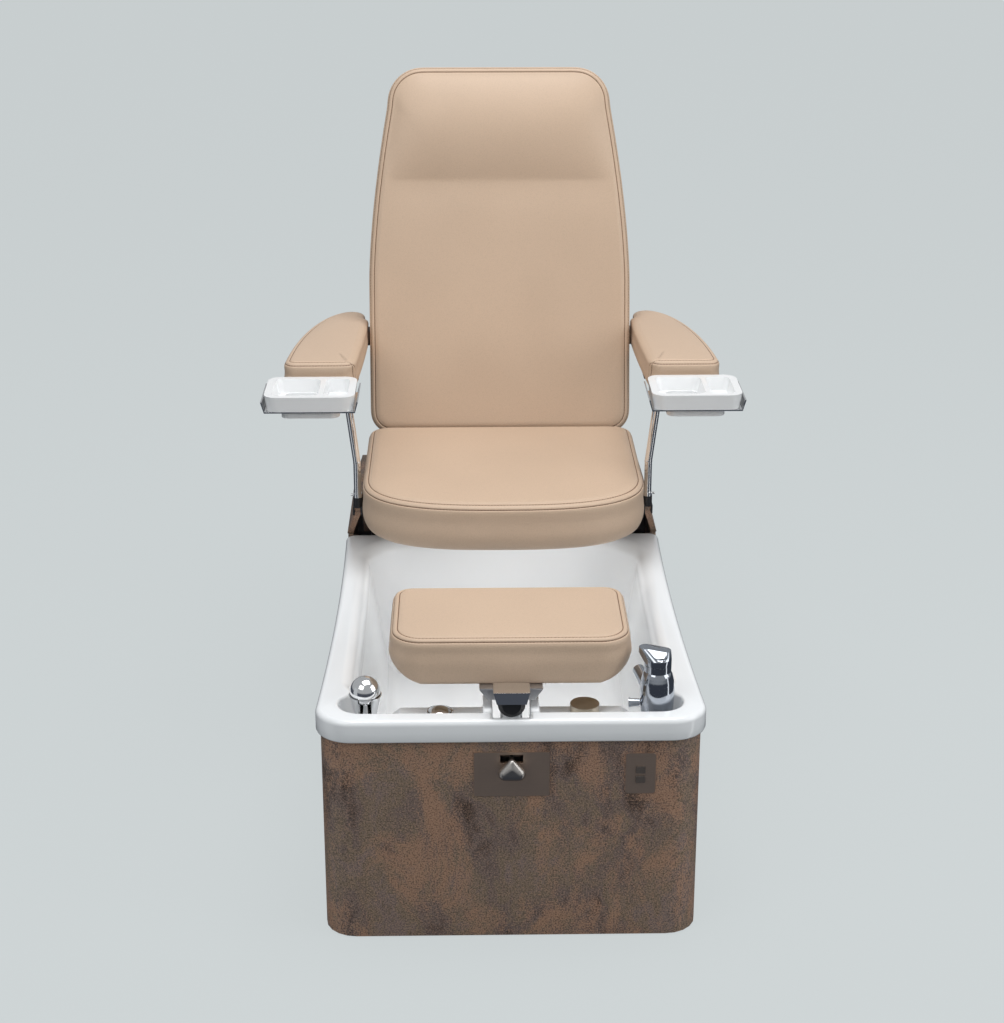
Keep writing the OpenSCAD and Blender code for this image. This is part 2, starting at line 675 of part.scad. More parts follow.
// Services at the back: water inlets, supply hoses and the cable's gland
tail_len = 60;
module inlet_tails() {
    color("gold") at_origin() for (x = inlet_places) translate([x, y_back - tail_len + 36, outlet_z]) along_y() {
        cylinder(r = inlet_r, h = tail_len);
        cylinder(r = inlet_r + 4, h = 12, $fn = 6);
        translate([0, 0, 18]) cylinder(r = inlet_r + 5, h = 6);
        translate([0, 0, 24 + cover_t + 2 * gap]) cylinder(r = inlet_r + 4, h = 5, $fn = 6);
    }
}
hose_r = 6;
supply_left = [[150, 1273.7, 100], [150, 1255, 100], [150, 1235, 98], [175, 1150, 86], [230, 1040, 76], [252, 900, 74],
    [252, 600, 74], [252, 300, 74], [253, 170, 78], [256, 120, 120], [256, 114, 220], [258, 108, 300],
    [262, 88, 336], [262, 80, 352]];
supply_right = [[210, 1273.7, 100], [210, 1255, 100], [210, 1235, 98], [228, 1150, 88], [262, 1040, 80], [272, 900, 78],
    [272, 600, 78], [272, 300, 78], [272, 170, 84], [272, 122, 130], [272, 114, 220], [273, 108, 300],
    [276, 88, 336], [276, 80, 352]];
shower_feed = [[-267, 73, 205], [-267, 73, 185], [-266, 78, 165], [-255, 96, 130], [-220, 102, 92], [-120, 103, 78],
    [0, 103, 76], [120, 103, 78], [215, 102, 86], [262, 96, 92], [288, 92, 130], [290, 94, 200],
    [287, 84, 290], [276, 68, 336], [269, 66, 352]];
module water_hoses() {
    color("silver") at_origin() {
        hose(supply_left, hose_r, 2);
        hose(supply_right, hose_r, 2);
        hose(shower_feed, hose_r, 2);
    }
}
module cable_gland() {
    color("#222222") at_origin() translate([gland_x, y_back + gap, outlet_z]) along_y() difference() {
        union() {
            translate([0, 0, -16]) cylinder(r = gland_r, h = 20);
            translate([0, 0, cover_t]) cylinder(r = gland_r + 5, h = 8, $fn = 6);
            translate([0, 0, cover_t + 8]) cylinder(r1 = gland_r + 4, r2 = gland_r, h = 12);
            translate([0, 0, -8]) cylinder(r = gland_r + 5, h = 7, $fn = 6);
        }
        translate([0, 0, -20]) cylinder(r = gland_r / 2, h = 50);
    }
}

// Mixer: barrel body with spout, hub that turns, lever that lifts, diverter that pulls
mixer_base = 6;
seam_z = pocket_z + mixer_h;
neck_r = 25;
spout_r = 12;
mixer_shares = [[0.86, 0], [0.93, 0.2], [0.99, 0.45], [1, 0.62], [0.95, 0.82], [0.84, 0.95]];
module mixer_body() {
    color("silver") at_origin() translate([mixer_x, fixture_y, pocket_z]) difference() {
        union() {
            cylinder(r = mixer_r - 2, h = mixer_base);
            rotate_extrude() polygon(concat([[0, 0]], [for (s = mixer_shares)
                [s[0] * mixer_r, mixer_base + s[1] * (mixer_h - mixer_base)]],
                [[neck_r - 1, mixer_h], [0, mixer_h]]));
            translate([0, 0, -tub_t - 40 - gap]) cylinder(r = shank_r, h = 42 + tub_t);
            translate([0, 0, 45]) rotate([-84, 0, 12]) cylinder(r1 = spout_r + 4, r2 = spout_r, h = 118);
        }
        translate([0, 0, 45]) rotate([-84, 0, 12]) translate([0, 0, mixer_r]) cylinder(r = spout_r - 3, h = 118);
        translate([0, 0, mixer_h - 20]) cylinder(r = hub_stem_r + fit, h = 20 + over);
        translate([-mixer_r - over, 0, diverter_z]) along_x() cylinder(r = diverter_r + fit, h = 20);
    }
}
hub_stem_r = 12;
hub_h = 13;
diverter_z = 45;
diverter_r = 4;
module mixer_hub() {
    color("silver") at_origin() translate([mixer_x, fixture_y, seam_z + gap]) {
        cylinder(r = neck_r, h = hub_h);
        translate([0, 0, -19]) cylinder(r = hub_stem_r, h = 20);
        translate([0, 0, hub_h]) intersection() {
            sphere(r = neck_r - 8);
            cylinder(r = neck_r, h = neck_r);
        }
    }
}
lever_reach = 22;
module mixer_lever() {
    color("silver") at_origin() translate([mixer_x, fixture_y, seam_z + hub_h + 2 * gap]) difference() {
        hull($fn = 32) {
            cylinder(r = neck_r, h = 12);
            translate([-lever_reach, 8, 20]) cylinder(r = 13, h = 10);
            translate([lever_reach / 2, 6, 14]) cylinder(r = 13, h = 10);
        }
        translate([0, 0, -over]) cylinder(r = neck_r - 4, h = 18);
    }
}
module diverter_knob() {
    color("silver") at_origin() translate([mixer_x, fixture_y, pocket_z + diverter_z]) rotate([0, -90, 0]) {
        translate([0, 0, mixer_r - 12]) cylinder(r = diverter_r, h = 16);
        translate([0, 0, mixer_r + gap]) cylinder(r = 7.5, h = 18);
        translate([0, 0, mixer_r + 17]) cylinder(r = 9, h = 4);
    }
}

// Hand shower in its open cup, with the hose that runs in a guide below the deck
cup_r = 12;
cup_h = 66;
cup_top_r = 28;
cup_wall = 2.5;
handle_r = 10.5;
module shower_holder() {
    color("silver") at_origin() translate([-shower_x, fixture_y, pocket_z]) difference() {
        union() {
            cylinder(r = cup_top_r - 4, h = 4);
            cylinder(r1 = cup_r + cup_wall, r2 = cup_top_r + cup_wall, h = cup_h);
            translate([0, 0, -tub_t - 20]) cylinder(r = holder_shank_r, h = 22 + tub_t);
        }
        translate([0, 0, over]) cylinder(r1 = cup_r, r2 = cup_top_r + 0.5, h = cup_h);
        translate([0, 0, -tub_t - 20 - over]) cylinder(r = cup_r, h = 60);
        block([-cup_r, -2 * cup_top_r, 5], [cup_r, 0, cup_h + over]);
    }
}
guide_len = 185;
module hose_guide() {
    color("gray") at_origin() translate([-shower_x, fixture_y, deck_low - 20 - gap - guide_len])
        difference() {
            cylinder(r = holder_shank_r, h = guide_len);
            translate([0, 0, 5]) cylinder(r = cup_r, h = guide_len);
            translate([0, 0, -over]) cylinder(r = hose_r - 0.2, h = 10);
        }
}
head_z = 478;
module hand_shower() {
    color("#34383c") at_origin() translate([-shower_x, fixture_y, 0]) {
        translate([0, 0, head_z]) intersection() {
            sphere(r = shower_r);
            translate([-shower_r, -shower_r, -shower_r]) cube([2 * shower_r, 1.65 * shower_r, 2 * shower_r]);
        }
        translate([0, 0, pocket_z - 5]) cylinder(r1 = handle_r - 1, r2 = handle_r, h = head_z - pocket_z);
    }
}
shower_lift = 150;
module shower_hose() {
    color("gray") at_origin() translate([-shower_x, fixture_y, pocket_z - 5 - shower_lift - 20])
        cylinder(r = hose_r + 1, h = shower_lift + 20);
}

// Jet button: a domed cap in a ring on the left ledge
cap_gap = 0.1;
button_stem_r = 9;
module jet_button_ring() {
    color("silver") at_origin() translate([-jet_button_x, fixture_y, ledge_z]) difference() {
        union() {
            cylinder(r = jet_ring_d / 2, h = 6);
            translate([0, 0, -ledge_drop - tub_t]) cylinder(r = button_r, h = ledge_drop + tub_t + over);
        }
        translate([0, 0, 1.5]) cylinder(r = jet_ring_d / 2 - 4, h = 5);
        translate([0, 0, -60]) cylinder(r = button_stem_r + fit, h = 70);
    }
}
module jet_button() {
    color("#c9cdd0") at_origin() translate([-jet_button_x, fixture_y, ledge_z + 4.6]) {
        cylinder(r = jet_ring_d / 2 - 4 - cap_gap, h = 3);
        translate([0, 0, 3]) intersection() {
            translate([0, 0, -26]) sphere(r = 33);
            cylinder(r = jet_ring_d / 2 - 4 - cap_gap, h = 10);
        }
        translate([0, 0, -ledge_drop]) cylinder(r = button_stem_r, h = ledge_drop + over);
    }
}

// Footrest: guide, gas spring, rising column, clamp knob, tilting bracket and pad
spring_r = 11;
rod_r = 4;
rod_low = frame_top + 60;
spring_top = frame_top + 190;
module footrest_guide() {
    color("dimgray") at_origin() translate([0, column_y, frame_top])
        square_tube(guide_w, column_wall + gap, deck_low - over - gap - frame_top);
}
module gas_spring() {
    color("#2b2b2b") at_origin() translate([0, column_y, frame_top]) difference() {
        union() {
            cylinder(r = spring_r, h = spring_top - frame_top);
            cylinder(r = column_w / 2 - column_wall - 2 * gap, h = 8);
        }
        translate([0, 0, rod_low - frame_top]) cylinder(r = rod_r + fit, h = spring_top);
    }
}
module gas_spring_rod() {
    color("silver") at_origin() translate([0, column_y, rod_low + 6])
        cylinder(r = rod_r, h = column_top - 8 - gap - rod_low - 6);
}
lug_t = 12;
tilt_z = column_top + 16;
lug_r = 14;
hood_w = 66;
hood_t = 3;
hood_z = clamp_z + clamp_d / 2 + 0.5;
hood_lip = 23;
head_w = 32;
module footrest_column() {
    color("silver") at_origin() translate([0, column_y, 0]) difference() {
        union() {
            translate([0, 0, column_top - column_len]) square_tube(column_w, column_wall, column_len);
            translate([-column_w / 2, -column_w / 2, column_top - 8]) cube([column_w, column_w, 8]);
            translate([-lug_t, -lug_r, column_top - over]) cube([2 * lug_t, 2 * lug_r, tilt_z - column_top + over]);
            translate([-lug_t, 0, tilt_z]) along_x() cylinder(r = lug_r, h = 2 * lug_t);
            block([-head_w / 2, -column_w / 2 - 10, column_top - 20], [head_w / 2, -column_w / 2 + over, hood_z + hood_t]);
            block([-hood_w / 2, clamp_y - 33 - column_y, hood_z], [hood_w / 2, -column_w / 2, hood_z + hood_t]);
            translate([0, clamp_y - 33 - column_y, hood_z + hood_t]) rotate([-90, 0, 0]) linear_extrude(hood_t)
                polygon([[-hood_w / 2, 0], [hood_w / 2, 0], [hood_w / 2 - 6, hood_lip], [6 - hood_w / 2, hood_lip]]);
        }
        translate([-column_w, 0, tilt_z]) along_x() cylinder(r = pin_r + fit, h = 2 * column_w);
        translate([0, -column_w, clamp_z]) along_y() cylinder(r = pin_r + fit, h = column_w / 2 + 8);
    }
}
module footrest_clamp_knob() {
    color("#1c1c1c") at_origin() translate([0, clamp_y, clamp_z]) {
        translate([0, -20 - gap, 0]) along_y() cylinder(r = clamp_d / 2, h = 20);
        translate([0, -26 - gap, 0]) along_y() cylinder(r1 = clamp_d / 2 - 8, r2 = clamp_d / 2, h = 6);
        translate([0, -1, 0]) along_y() cylinder(r = pin_r, h = 16);
    }
}
ear_t = 4;
wing_y = -12;
plate_w = 116;
plate_l = 150;
plate_t = 3;
module footrest_bracket() {
    color("silver") at_origin() {
        translate([0, column_y, 0]) both_sides() {
            translate([lug_t + gap, 0, tilt_z]) along_x() cylinder(r = lug_r, h = ear_t);
            block([lug_t + gap, wing_y, tilt_z], [lug_t + gap + ear_t, plate_l / 2, pad_z - plate_t + over]);
            translate([0, wing_y - over, 0]) along_y() mirror([0, 1, 0]) linear_extrude(plate_t) polygon([
                [lug_t + gap, tilt_z - 2], [plate_w / 2 - 15, tilt_z - 2], [plate_w / 2, pad_z - plate_t + over],
                [lug_t + gap, pad_z - plate_t + over]]);
        }
        translate([-lug_t - 3 * ear_t, column_y, tilt_z]) along_x()
            cylinder(r = pin_r, h = 2 * (lug_t + 3 * ear_t));
        block([-plate_w / 2, column_y + wing_y, pad_z - plate_t], [plate_w / 2, column_y + plate_l, pad_z - gap]);
    }
}
board_inset = 60;
pad_board_t = 12;
module footrest_board() {
    color("tan") at_origin() translate([0, pad_front + pad_len / 2, pad_z])
        round_block(pad_w - 2 * board_inset, pad_len - board_inset, 20, pad_board_t);
}
pad_r = 62;
pad_rear_r = 42;
function pad_outline(d, e) = plan(pad_w / 2 - d, pad_w / 2 - d, 0, pad_front + e, pad_front + pad_len - e,
    max(pad_r - d, small_r), max(pad_rear_r - d, small_r));
pad_steps = [[44, 0, 6], [24, 6, 2], [9, 20, 0.6], [0.5, 42, 0], [2.5, 62, 2.5], [4, 76, 3], [10, 85, 9],
    [24, 89, 22], [60, 91.5, 55], [110, 93, 100]];
module footrest_pad() {
    color("#b79a7c") at_origin() difference() {
        translate([0, 0, pad_z]) cushion(function (d, e) pad_outline(d, e), [for (q = pad_steps) [q[0], q[1] * pad_t / 93, q[2]]]);
        translate([0, pad_front + pad_len / 2, pad_z - over])
            round_block(pad_w - 2 * board_inset + 2 * gap, pad_len - board_inset + 2 * gap, 20 + gap,
                pad_board_t + over + gap);
    }
}
release_cable_route = [[0, 27, 356], [0, 27, 300], [0, 27, 200], [0, 27, 110], [0, 28, 90], [0, 30, 76], [0, 32.5, 70]];
module release_cable() { color("#222222") at_origin() hose(release_cable_route, 2.5); }

// Release lever in the front panel
plate_y = 2;
lug_x = 17;
barrel_y = 20;
barrel_r = 7;
lever_pin_r = 4;
module lever_plate() {
    color("#7d7064") at_origin() {
        difference() {
            translate([0, -plate_y, lever_z]) along_y() round_block(lever_plate_w, lever_plate_h, 4, plate_y);
            translate([0, -plate_y - over, slot_z]) along_y() round_block(slot_w, slot_h, 2, plate_y + 2 * over);
        }
        both_sides() block([slot_w / 2 + over, -over, slot_z - 6], [slot_w / 2 + 4, barrel_y + 6, slot_z + 6]);
        translate([-slot_w / 2 - 2, barrel_y, slot_z]) along_x() cylinder(r = lever_pin_r, h = slot_w + 4);
    }
}
grip_z = slot_z + 2;
module release_lever() {
    color("#8b8680") at_origin() {
        difference() {
            union() {
                translate([-lug_x, barrel_y, slot_z]) along_x() cylinder(r = barrel_r, h = 2 * lug_x);
                translate([0, -24, slot_z - 3]) rotate([-86, 0, 0]) cylinder(r = 4, h = barrel_y + 24);
                block([-3, barrel_y, slot_z - 8], [3, barrel_y + 10, slot_z - 1]);
            }
            translate([-lug_x - over, barrel_y, slot_z]) along_x()
                cylinder(r = lever_pin_r + fit, h = 2 * (lug_x + over));
        }
        hull($fn = 32) {
            translate([0, grip_y, grip_z]) sphere(r = 8);
            translate([-12, grip_y, grip_z - 20]) sphere(r = 13);
            translate([12, grip_y, grip_z - 20]) sphere(r = 13);
            translate([0, grip_y, grip_z - 10]) sphere(r = 12.5);
        }
    }
}
grip_y = 13 - grip_reach;

// Switch plate with two press buttons
button_w = 17;
button_h = 13.5;
button_pitch = 19.5;
module switch_plate() {
    color("#7d7064") at_origin() difference() {
        union() {
            translate([switch_x, -plate_y, switch_z]) along_y() round_block(switch_plate_w, switch_plate_h, 6, plate_y);
            block([switch_x - box_w / 2, -over, switch_z - box_h / 2], [switch_x + box_w / 2, 40, switch_z + box_h / 2]);
        }
        for (s = [0, 1]) block([switch_x - button_w / 2 - gap, -5, button_low(s) - gap],
            [switch_x + button_w / 2 + gap, 8, button_low(s) + button_h + gap]);
    }
}
function button_low(s) = switch_z - 2 - button_h / 2 + (s - 0.5) * button_pitch;
module switch_button(s) {
    color("#5c544c") at_origin()
        block([switch_x - button_w / 2, -4.5, button_low(s)], [switch_x + button_w / 2, 5, button_low(s) + button_h]);
}
module switch_button_upper() { switch_button(1); }
module switch_button_lower() { switch_button(0); }

// Pedestal: leaning side boards, front board and top board behind the tub
ped_foot_half = 345;
ped_head_half = 322;
ped_bend = seat_z;
ped_rear = y_back - panel_t;
saddle_l = 30;
ped_lean_y = post_y - 12;
module pedestal_sides() {
    color("#6b5547") at_origin() both_sides() intersection() {
        translate([0, ped_rear, 0]) rotate([90, 0, 0]) linear_extrude(ped_rear - ped_lean_y + over) polygon([
            [ped_foot_half, rim_z + gap], [ped_head_half, ped_bend], [ped_head_half, ped_top],
            [ped_head_half - panel_t, ped_top], [ped_head_half - panel_t, ped_bend],
            [ped_foot_half - panel_t, rim_z + gap]]);
        along_x() rotate([0, 0, 90]) linear_extrude(ped_foot_half + over) polygon([
            [base_len + 2, rim_z], [ped_lean_y, ped_top + over], [post_y + saddle_l, ped_top + over],
            [ped_rear, ped_low + 2 * top_t], [ped_rear, rim_z]]);
    }
}
module pedestal_boards() {
    lean_run = base_len + 2 - ped_lean_y;
    lean_rise = ped_top - rim_z;
    at = function (z) base_len + 2 - lean_run * (z - rim_z) / lean_rise;
    head = carriage_low - gap;
    color("#4e3a30") at_origin() along_x() rotate([0, 0, 90]) translate([0, 0, -ped_head_half + panel_t + gap + 2])
        linear_extrude(2 * (ped_head_half - panel_t - gap - 2)) polygon([
            [at(rim_z + gap) + panel_t, rim_z + gap], [at(head) + panel_t, head],
            [at(head) + 2 * panel_t, head], [at(rim_z + gap) + 2 * panel_t, rim_z + gap]]);
    color("#4e3a30") at_origin() block([panel_t + side_gap - ped_head_half, ped_rear - panel_t, rim_z + gap],
        [ped_head_half - panel_t - side_gap, ped_rear, carriage_low - gap]);
}
top_front = base_len + 2 * panel_t + 4;
module pedestal_top() {
    color("#6b5547") at_origin() block([-ped_head_half + panel_t + side_gap, top_front, ped_low],
        [ped_head_half - panel_t - side_gap, ped_rear - panel_t - gap, ped_low + top_t]);
}

// Seat: rails, sliding carriage with the recline brackets, pan and cushion
runner_x = 180;
runner_w = 34;
rail_t = 12;
runner_front = seat_front + 200;
runner_rear = seat_front + seat_len - 8;
module seat_rails() {
    color("silver") at_origin() both_sides()
        block([runner_x - runner_w / 2, top_front + 2, ped_low + top_t],
            [runner_x + runner_w / 2, ped_rear - 3 * panel_t, ped_low + top_t + rail_t]);
}
carriage_low = ped_low + top_t + rail_t + gap;
bracket_x = 222;
bracket_t = 6;
cross_l = 40;
module seat_carriage() {
    color("dimgray") at_origin() {
        both_sides() {
            block([runner_x - runner_w / 2, runner_front, carriage_low], [runner_x + runner_w / 2, runner_rear, seat_z - gap]);
            difference() {
                translate([bracket_x + gap, 0, 0]) along_x() rotate([0, 0, 90]) linear_extrude(bracket_t) {
                    translate([hinge_at[0], hinge_at[1]]) circle(hinge_r + 1.5);
                    translate([runner_rear - 60, carriage_low]) square([110, seat_z - gap - carriage_low]);
                    translate([hinge_at[0] - hinge_r, carriage_low]) square([2 * hinge_r, hinge_at[1] - carriage_low]);
                }
                translate([0, hinge_at[0], hinge_at[1]]) along_x() cylinder(r = pin_r, h = half_w);
            }
            translate([bracket_x - bracket_t - 2, hinge_at[0], hinge_at[1]]) along_x()
                cylinder(r = pin_r, h = 2 * bracket_t + 4);
        }
        for (y = [runner_front + cross_l, runner_rear - 60]) block([-bracket_x - bracket_t - gap, y, carriage_low],
            [bracket_x + bracket_t + gap, y + cross_l, seat_z - gap - 8]);
    }
}
pan_inset = 45;
module seat_pan() {
    color("tan") at_origin() translate([0, seat_front + seat_len / 2 + pan_inset / 2, seat_z])
        round_block(seat_w - 2 * pan_inset, seat_len - 2 * pan_inset, 60, pan_t);
}
nose = 190;
function seat_outline(d) = let (h = seat_w / 2 - d, y0 = seat_front + d, y1 = seat_front + seat_len - d,
        r = max(45 - d, small_r))
    concat([for (i = [0:12]) let (a = 180 + 15 * i, c = cos(a), s = sin(a))
            [h * sign(c) * pow(abs(c), 0.72), y0 + nose * (1 - pow(abs(s), 0.78))]],
        [[h, (y0 + nose + y1) / 2]], arc([h - r, y1 - r], r, 0), arc([r - h, y1 - r], r, 90),
        [[-h, (y0 + nose + y1) / 2]]);
module seat_cushion() {
    color("#b79a7c") at_origin() difference() {
        translate([0, 0, seat_z]) cushion(function (d, e) seat_outline(d), cushion_steps(seat_t, 22, 9, 2, 8, seat_span));
        translate([0, seat_front + seat_len / 2 + pan_inset / 2, seat_z - over])
            round_block(seat_w - 2 * pan_inset + 2 * gap, seat_len - 2 * pan_inset + 2 * gap, 60 + gap, pan_t + over + gap);
    }
}

// Backrest: board with its steel arms and cross tube, and the cushion
// Height at which the back begins to narrow, and the length of its upright head
shoulder_z = 330;
head_len = 85;
function back_half(z, d) = let (t = max(0, min(1, (z - shoulder_z) / (back_len - shoulder_z - head_len))))
    back_w / 2 - (back_w - back_top_w) / 2 * pow(t, 1.6) - d;
back_r = 80;
foot_corner_r = 50;
back_span = 180;
seat_span = 200;
arm_span = 20;
function back_outline(d) = let (top = back_len - d, h = back_half(top - back_r, d), r = back_r - d / 2, foot = max(foot_corner_r - d, small_r),
        low = foot + d - back_drop, zs = [for (i = [0:7]) low + (top - r - low) * i / 7])
    concat(arc([foot - back_half(0, d), low], foot, 180), arc([back_half(0, d) - foot, low], foot, 270),
        [for (i = [1:6]) [back_half(zs[i], d), zs[i]]],
        arc([h - r, top - r], r, 0), arc([r - h, top - r], r, 90),
        [for (i = [6:-1:1]) [-back_half(zs[i], d), zs[i]]]);
module back_cushion() {
    color("#b79a7c") in_back() translate([0, back_t, 0]) rotate([90, 0, 0])
        cushion(function (d, e) back_outline(d), cushion_steps(back_t - 8, 6, 9, 2, 8, back_span));
}
module back_frame() {
    color("#a58a6d") in_back() {
        translate([0, back_t + gap + board_t, 0]) rotate([90, 0, 0]) linear_extrude(board_t)
            polygon(back_outline(frame_inset));
        both_sides() difference() {
            translate([bracket_x - bracket_t, 0, 0]) along_x() rotate([0, 0, 90]) linear_extrude(bracket_t) {
                translate([hinge_y, hinge_z]) circle(hinge_r);
                translate([hinge_y, hinge_z - 12]) square([arm_pivot_y + tube_d / 2 - hinge_y, 24]);
                translate([back_t + board_t + gap - over / 2, hinge_z - 12]) square([tube_d, arm_pivot_z - hinge_z]);
            }
            translate([0, hinge_y, hinge_z]) along_x() cylinder(r = pin_r + fit, h = half_w);
        }
        difference() {
            block([-tube_half, back_t + board_t + gap - over / 2, arm_pivot_z - tube_d / 2],
                [tube_half, arm_pivot_y + tube_d / 2, arm_pivot_z + tube_d / 2]);
        }
        both_sides() translate([tube_half - over, arm_pivot_y, arm_pivot_z]) along_x()
            cylinder(r = pin_r, h = arm_plate_x + arm_plate_t - tube_half + over);
    }
}
tube_half = back_w / 2 - 4;

// Armrests: a steel bracket on the pivot, and a wing-shaped pad on it
arm_plate_x = tube_half + gap + 6;
arm_plate_t = 5;
arm_notch = 10;
module armrest_bracket(s) {
    color("dimgray") at_origin() side(s) difference() {
        union() {
            translate([arm_plate_x, arm_pivot[0], arm_pivot[1]]) along_x() cylinder(r = hinge_r, h = arm_plate_t);
            block([arm_plate_x, arm_pivot[0] - hinge_r, arm_z - gap - arm_plate_t],
                [arm_plate_x + arm_plate_t, arm_pivot[0] + hinge_r, arm_pivot[1]]);
            block([arm_plate_x, arm_pivot[0] - hinge_r, arm_z - gap - arm_plate_t],
                [arm_in + 2 * arm_notch, arm_pivot[0] + hinge_r, arm_z - gap]);
            block([arm_in + arm_notch + 4, arm_front + arm_len / 4, arm_z - gap - arm_plate_t],
                [arm_in + arm_back_w - arm_notch, arm_pivot[0] + hinge_r, arm_z - gap]);
        }
        translate([tube_half, arm_pivot[0], arm_pivot[1]]) along_x() cylinder(r = pin_r + fit, h = 60);
    }
}
module armrest_bracket_left() { armrest_bracket(-1); }
module armrest_bracket_right() { armrest_bracket(1); }
// Plan of a pad: an inner side that turns out to the front and is notched at the hinge,
// and an outer side that swings in towards the back
arm_flare = 15;
arm_notch_l = 58;
arm_front_r = 28;
arm_rear_r = 30;
function wing(d) = let (x0 = arm_in + d, y0 = arm_front + d, y1 = arm_rear - d, w = arm_w - 2 * d, xn = x0 + arm_notch,
        r = max(arm_front_r - d, small_r), rb = max(arm_rear_r - d, small_r), n = 9, xr = xn + rb, yc = y0 + 2 * r)
    [for (p = concat(arc([x0 + r, y0 + r], r, 180), arc([x0 + w - r, y0 + r], r, 270),
        [for (i = [0:n - 1]) [xr + (x0 + w - xr) * cos(90 * i / n), yc + (y1 - yc) * sin(90 * i / n)]],
        arc([xn + rb, y1 - rb], rb, 90),
        [[xn, arm_rear - arm_notch_l - d], [x0, arm_rear - arm_notch_l - arm_notch - d]],
        [for (i = [1:4]) [x0, arm_rear - arm_notch_l - arm_notch - i * arm_len / 6]]))
        [p[0] + arm_flare * pow(max(0, arm_rear - p[1]) / arm_len, 2), p[1]]];
module armrest_pad(s) {
    color("#b79a7c") at_origin() side(s) translate([0, 0, arm_z])
        cushion(function (d, e) wing(d), cushion_steps(arm_t - 4, 8, 7, 1.5, 4, arm_span));
}
module armrest_pad_left() { armrest_pad(-1); }
module armrest_pad_right() { armrest_pad(1); }

// Trays: sockets on the pedestal, swinging arms with a cradle, and lift-off trays
saddle_w = panel_t + 8;
module tray_sockets() {
    color("#1c1c1c") at_origin() both_sides() {
        translate([ped_head_half - panel_t / 2, post_y, 0]) difference() {
            block([-saddle_w / 2, -10, ped_top - 16], [saddle_w / 2, 24, post_low]);
            block([-panel_t / 2 - gap, -20, ped_top - 20], [panel_t / 2 + gap, 30, ped_top + gap / 2]);
        }
        translate([post_x, post_y, post_low]) pipe(socket_r, pin_r + fit, socket_h);
    }
}
arm_low = post_low + socket_h + gap;
bend_swell = 0.4;
cradle_t = 3;
flare = 8;
flare_h = 24;
cradle_l = 138;
module tray_arm(s) {
    rise = tray_low - cradle_t - gap - post_bend;
    run = 17;
    color("silver") at_origin() side(s) {
        translate([post_x, post_y, post_low + gap]) cylinder(r = pin_r, h = arm_low - post_low);
        translate([post_x, post_y, arm_low]) cylinder(r = arm_tube_r, h = post_bend - arm_low);
        translate([post_x, post_y, arm_low]) cylinder(r = arm_tube_r + 1.5, h = 9);
        translate([post_x, post_y, arm_low + 4.5]) rotate([0, 90, 0]) cylinder(r = 2.5, h = arm_tube_r + 7);
        translate([post_x, post_y, post_bend]) sphere(r = arm_tube_r + bend_swell);
        translate([post_x, post_y, post_bend]) rotate([0, atan(run / rise), 0])
            cylinder(r = arm_tube_r, h = norm([run, rise]) + gap);
        translate([tray_x, tray_y, tray_low - cradle_t - gap]) cradle();
    }
}
// A flat strap under the tray with a hole for its bowl and both ends turned up
module cradle() {
    half = tray_w / 2 - draft;
    difference() {
        rotate([90, 0, 0]) translate([0, 0, -cradle_l / 2]) linear_extrude(cradle_l) polygon([
            [-half - 4, 0], [half + 4, 0], [half + flare + 3, flare_h], [half + flare, flare_h],
            [half + 3, cradle_t], [-half - 3, cradle_t], [-half - flare, flare_h], [-half - flare - 3, flare_h]]);
        translate([0, 0, -over]) round_block(bowl_w + 2 * clear, bowl_l + 2 * clear, bowl_r + clear, tray_h);
    }
}
draft = 4;
bowl_w = 122;
bowl_l = 104;
bowl_r = 18;
tray_r = 26;
wall = 3.5;
share_wide = 0.62;
module tray(s) {
    inner_w = tray_w - 2 * tray_wall;
    wide = inner_w * share_wide;
    narrow = inner_w - wide - divider;
    deep_from = wall - bowl_w / 2;
    deep_to = wide - inner_w / 2 - 9;
    color("white") at_origin() translate([s * tray_x, tray_y, tray_low]) difference() {
        union() {
            tapered_block(tray_w, tray_len, tray_r, tray_h, draft);
            translate([0, 0, -bowl_h]) round_block(bowl_w, bowl_l, bowl_r, bowl_h + 6);
        }
        translate([-inner_w / 2 + wide / 2, 0, 5]) tapered_block(wide, tray_len - 2 * tray_wall, 16, tray_h, 9);
        translate([(deep_from + deep_to) / 2, 0, -bowl_h + wall])
            round_block(deep_to - deep_from, bowl_l - 2 * wall, bowl_r - wall, bowl_h + tray_h);
        translate([inner_w / 2 - narrow / 2, 0, 5]) tapered_block(narrow, tray_len - 2 * tray_wall, 14, tray_h, 6);
    }
}
tray_wall = 14;
divider = 8;
module tray_left() { tray(-1); }
module tray_right() { tray(1); }
module tray_arm_left() { tray_arm(-1); }
module tray_arm_right() { tray_arm(1); }

base_frame();
levelling_feet();
cabinet_skirt();
rear_cabinet();
rear_cover();
cover_screws();
tub_shell();
drain_flange();
drain_plug();
drain_knob();
drain_cable();
waste_trap();
jet_pump();
pump_hoses();
jet_nozzles();
inlet_tails();
water_hoses();
cable_gland();
mixer_body();
mixer_hub();
mixer_lever();
diverter_knob();
shower_holder();
hose_guide();
hand_shower();
shower_hose();
jet_button_ring();
jet_button();
footrest_guide();
gas_spring();
gas_spring_rod();
footrest_column();
footrest_clamp_knob();
footrest_bracket();
footrest_board();
footrest_pad();
release_cable();
lever_plate();
release_lever();
switch_plate();
switch_button_upper();
switch_button_lower();
pedestal_sides();
pedestal_boards();
pedestal_top();
seat_rails();
seat_carriage();
seat_pan();
seat_cushion();
back_frame();
back_cushion();
armrest_bracket_left();
armrest_bracket_right();
armrest_pad_left();
armrest_pad_right();
tray_sockets();
tray_arm_left();
tray_arm_right();
tray_left();
tray_right();
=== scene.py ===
"""Looks of a pedicure bench: cushions, tub, fittings, finishes, stage and camera.

Every length in the shape functions is in millimetres, counted from the cabinet's front face
and from the floor, and place() turns it into the frame's metres.
"""

import math

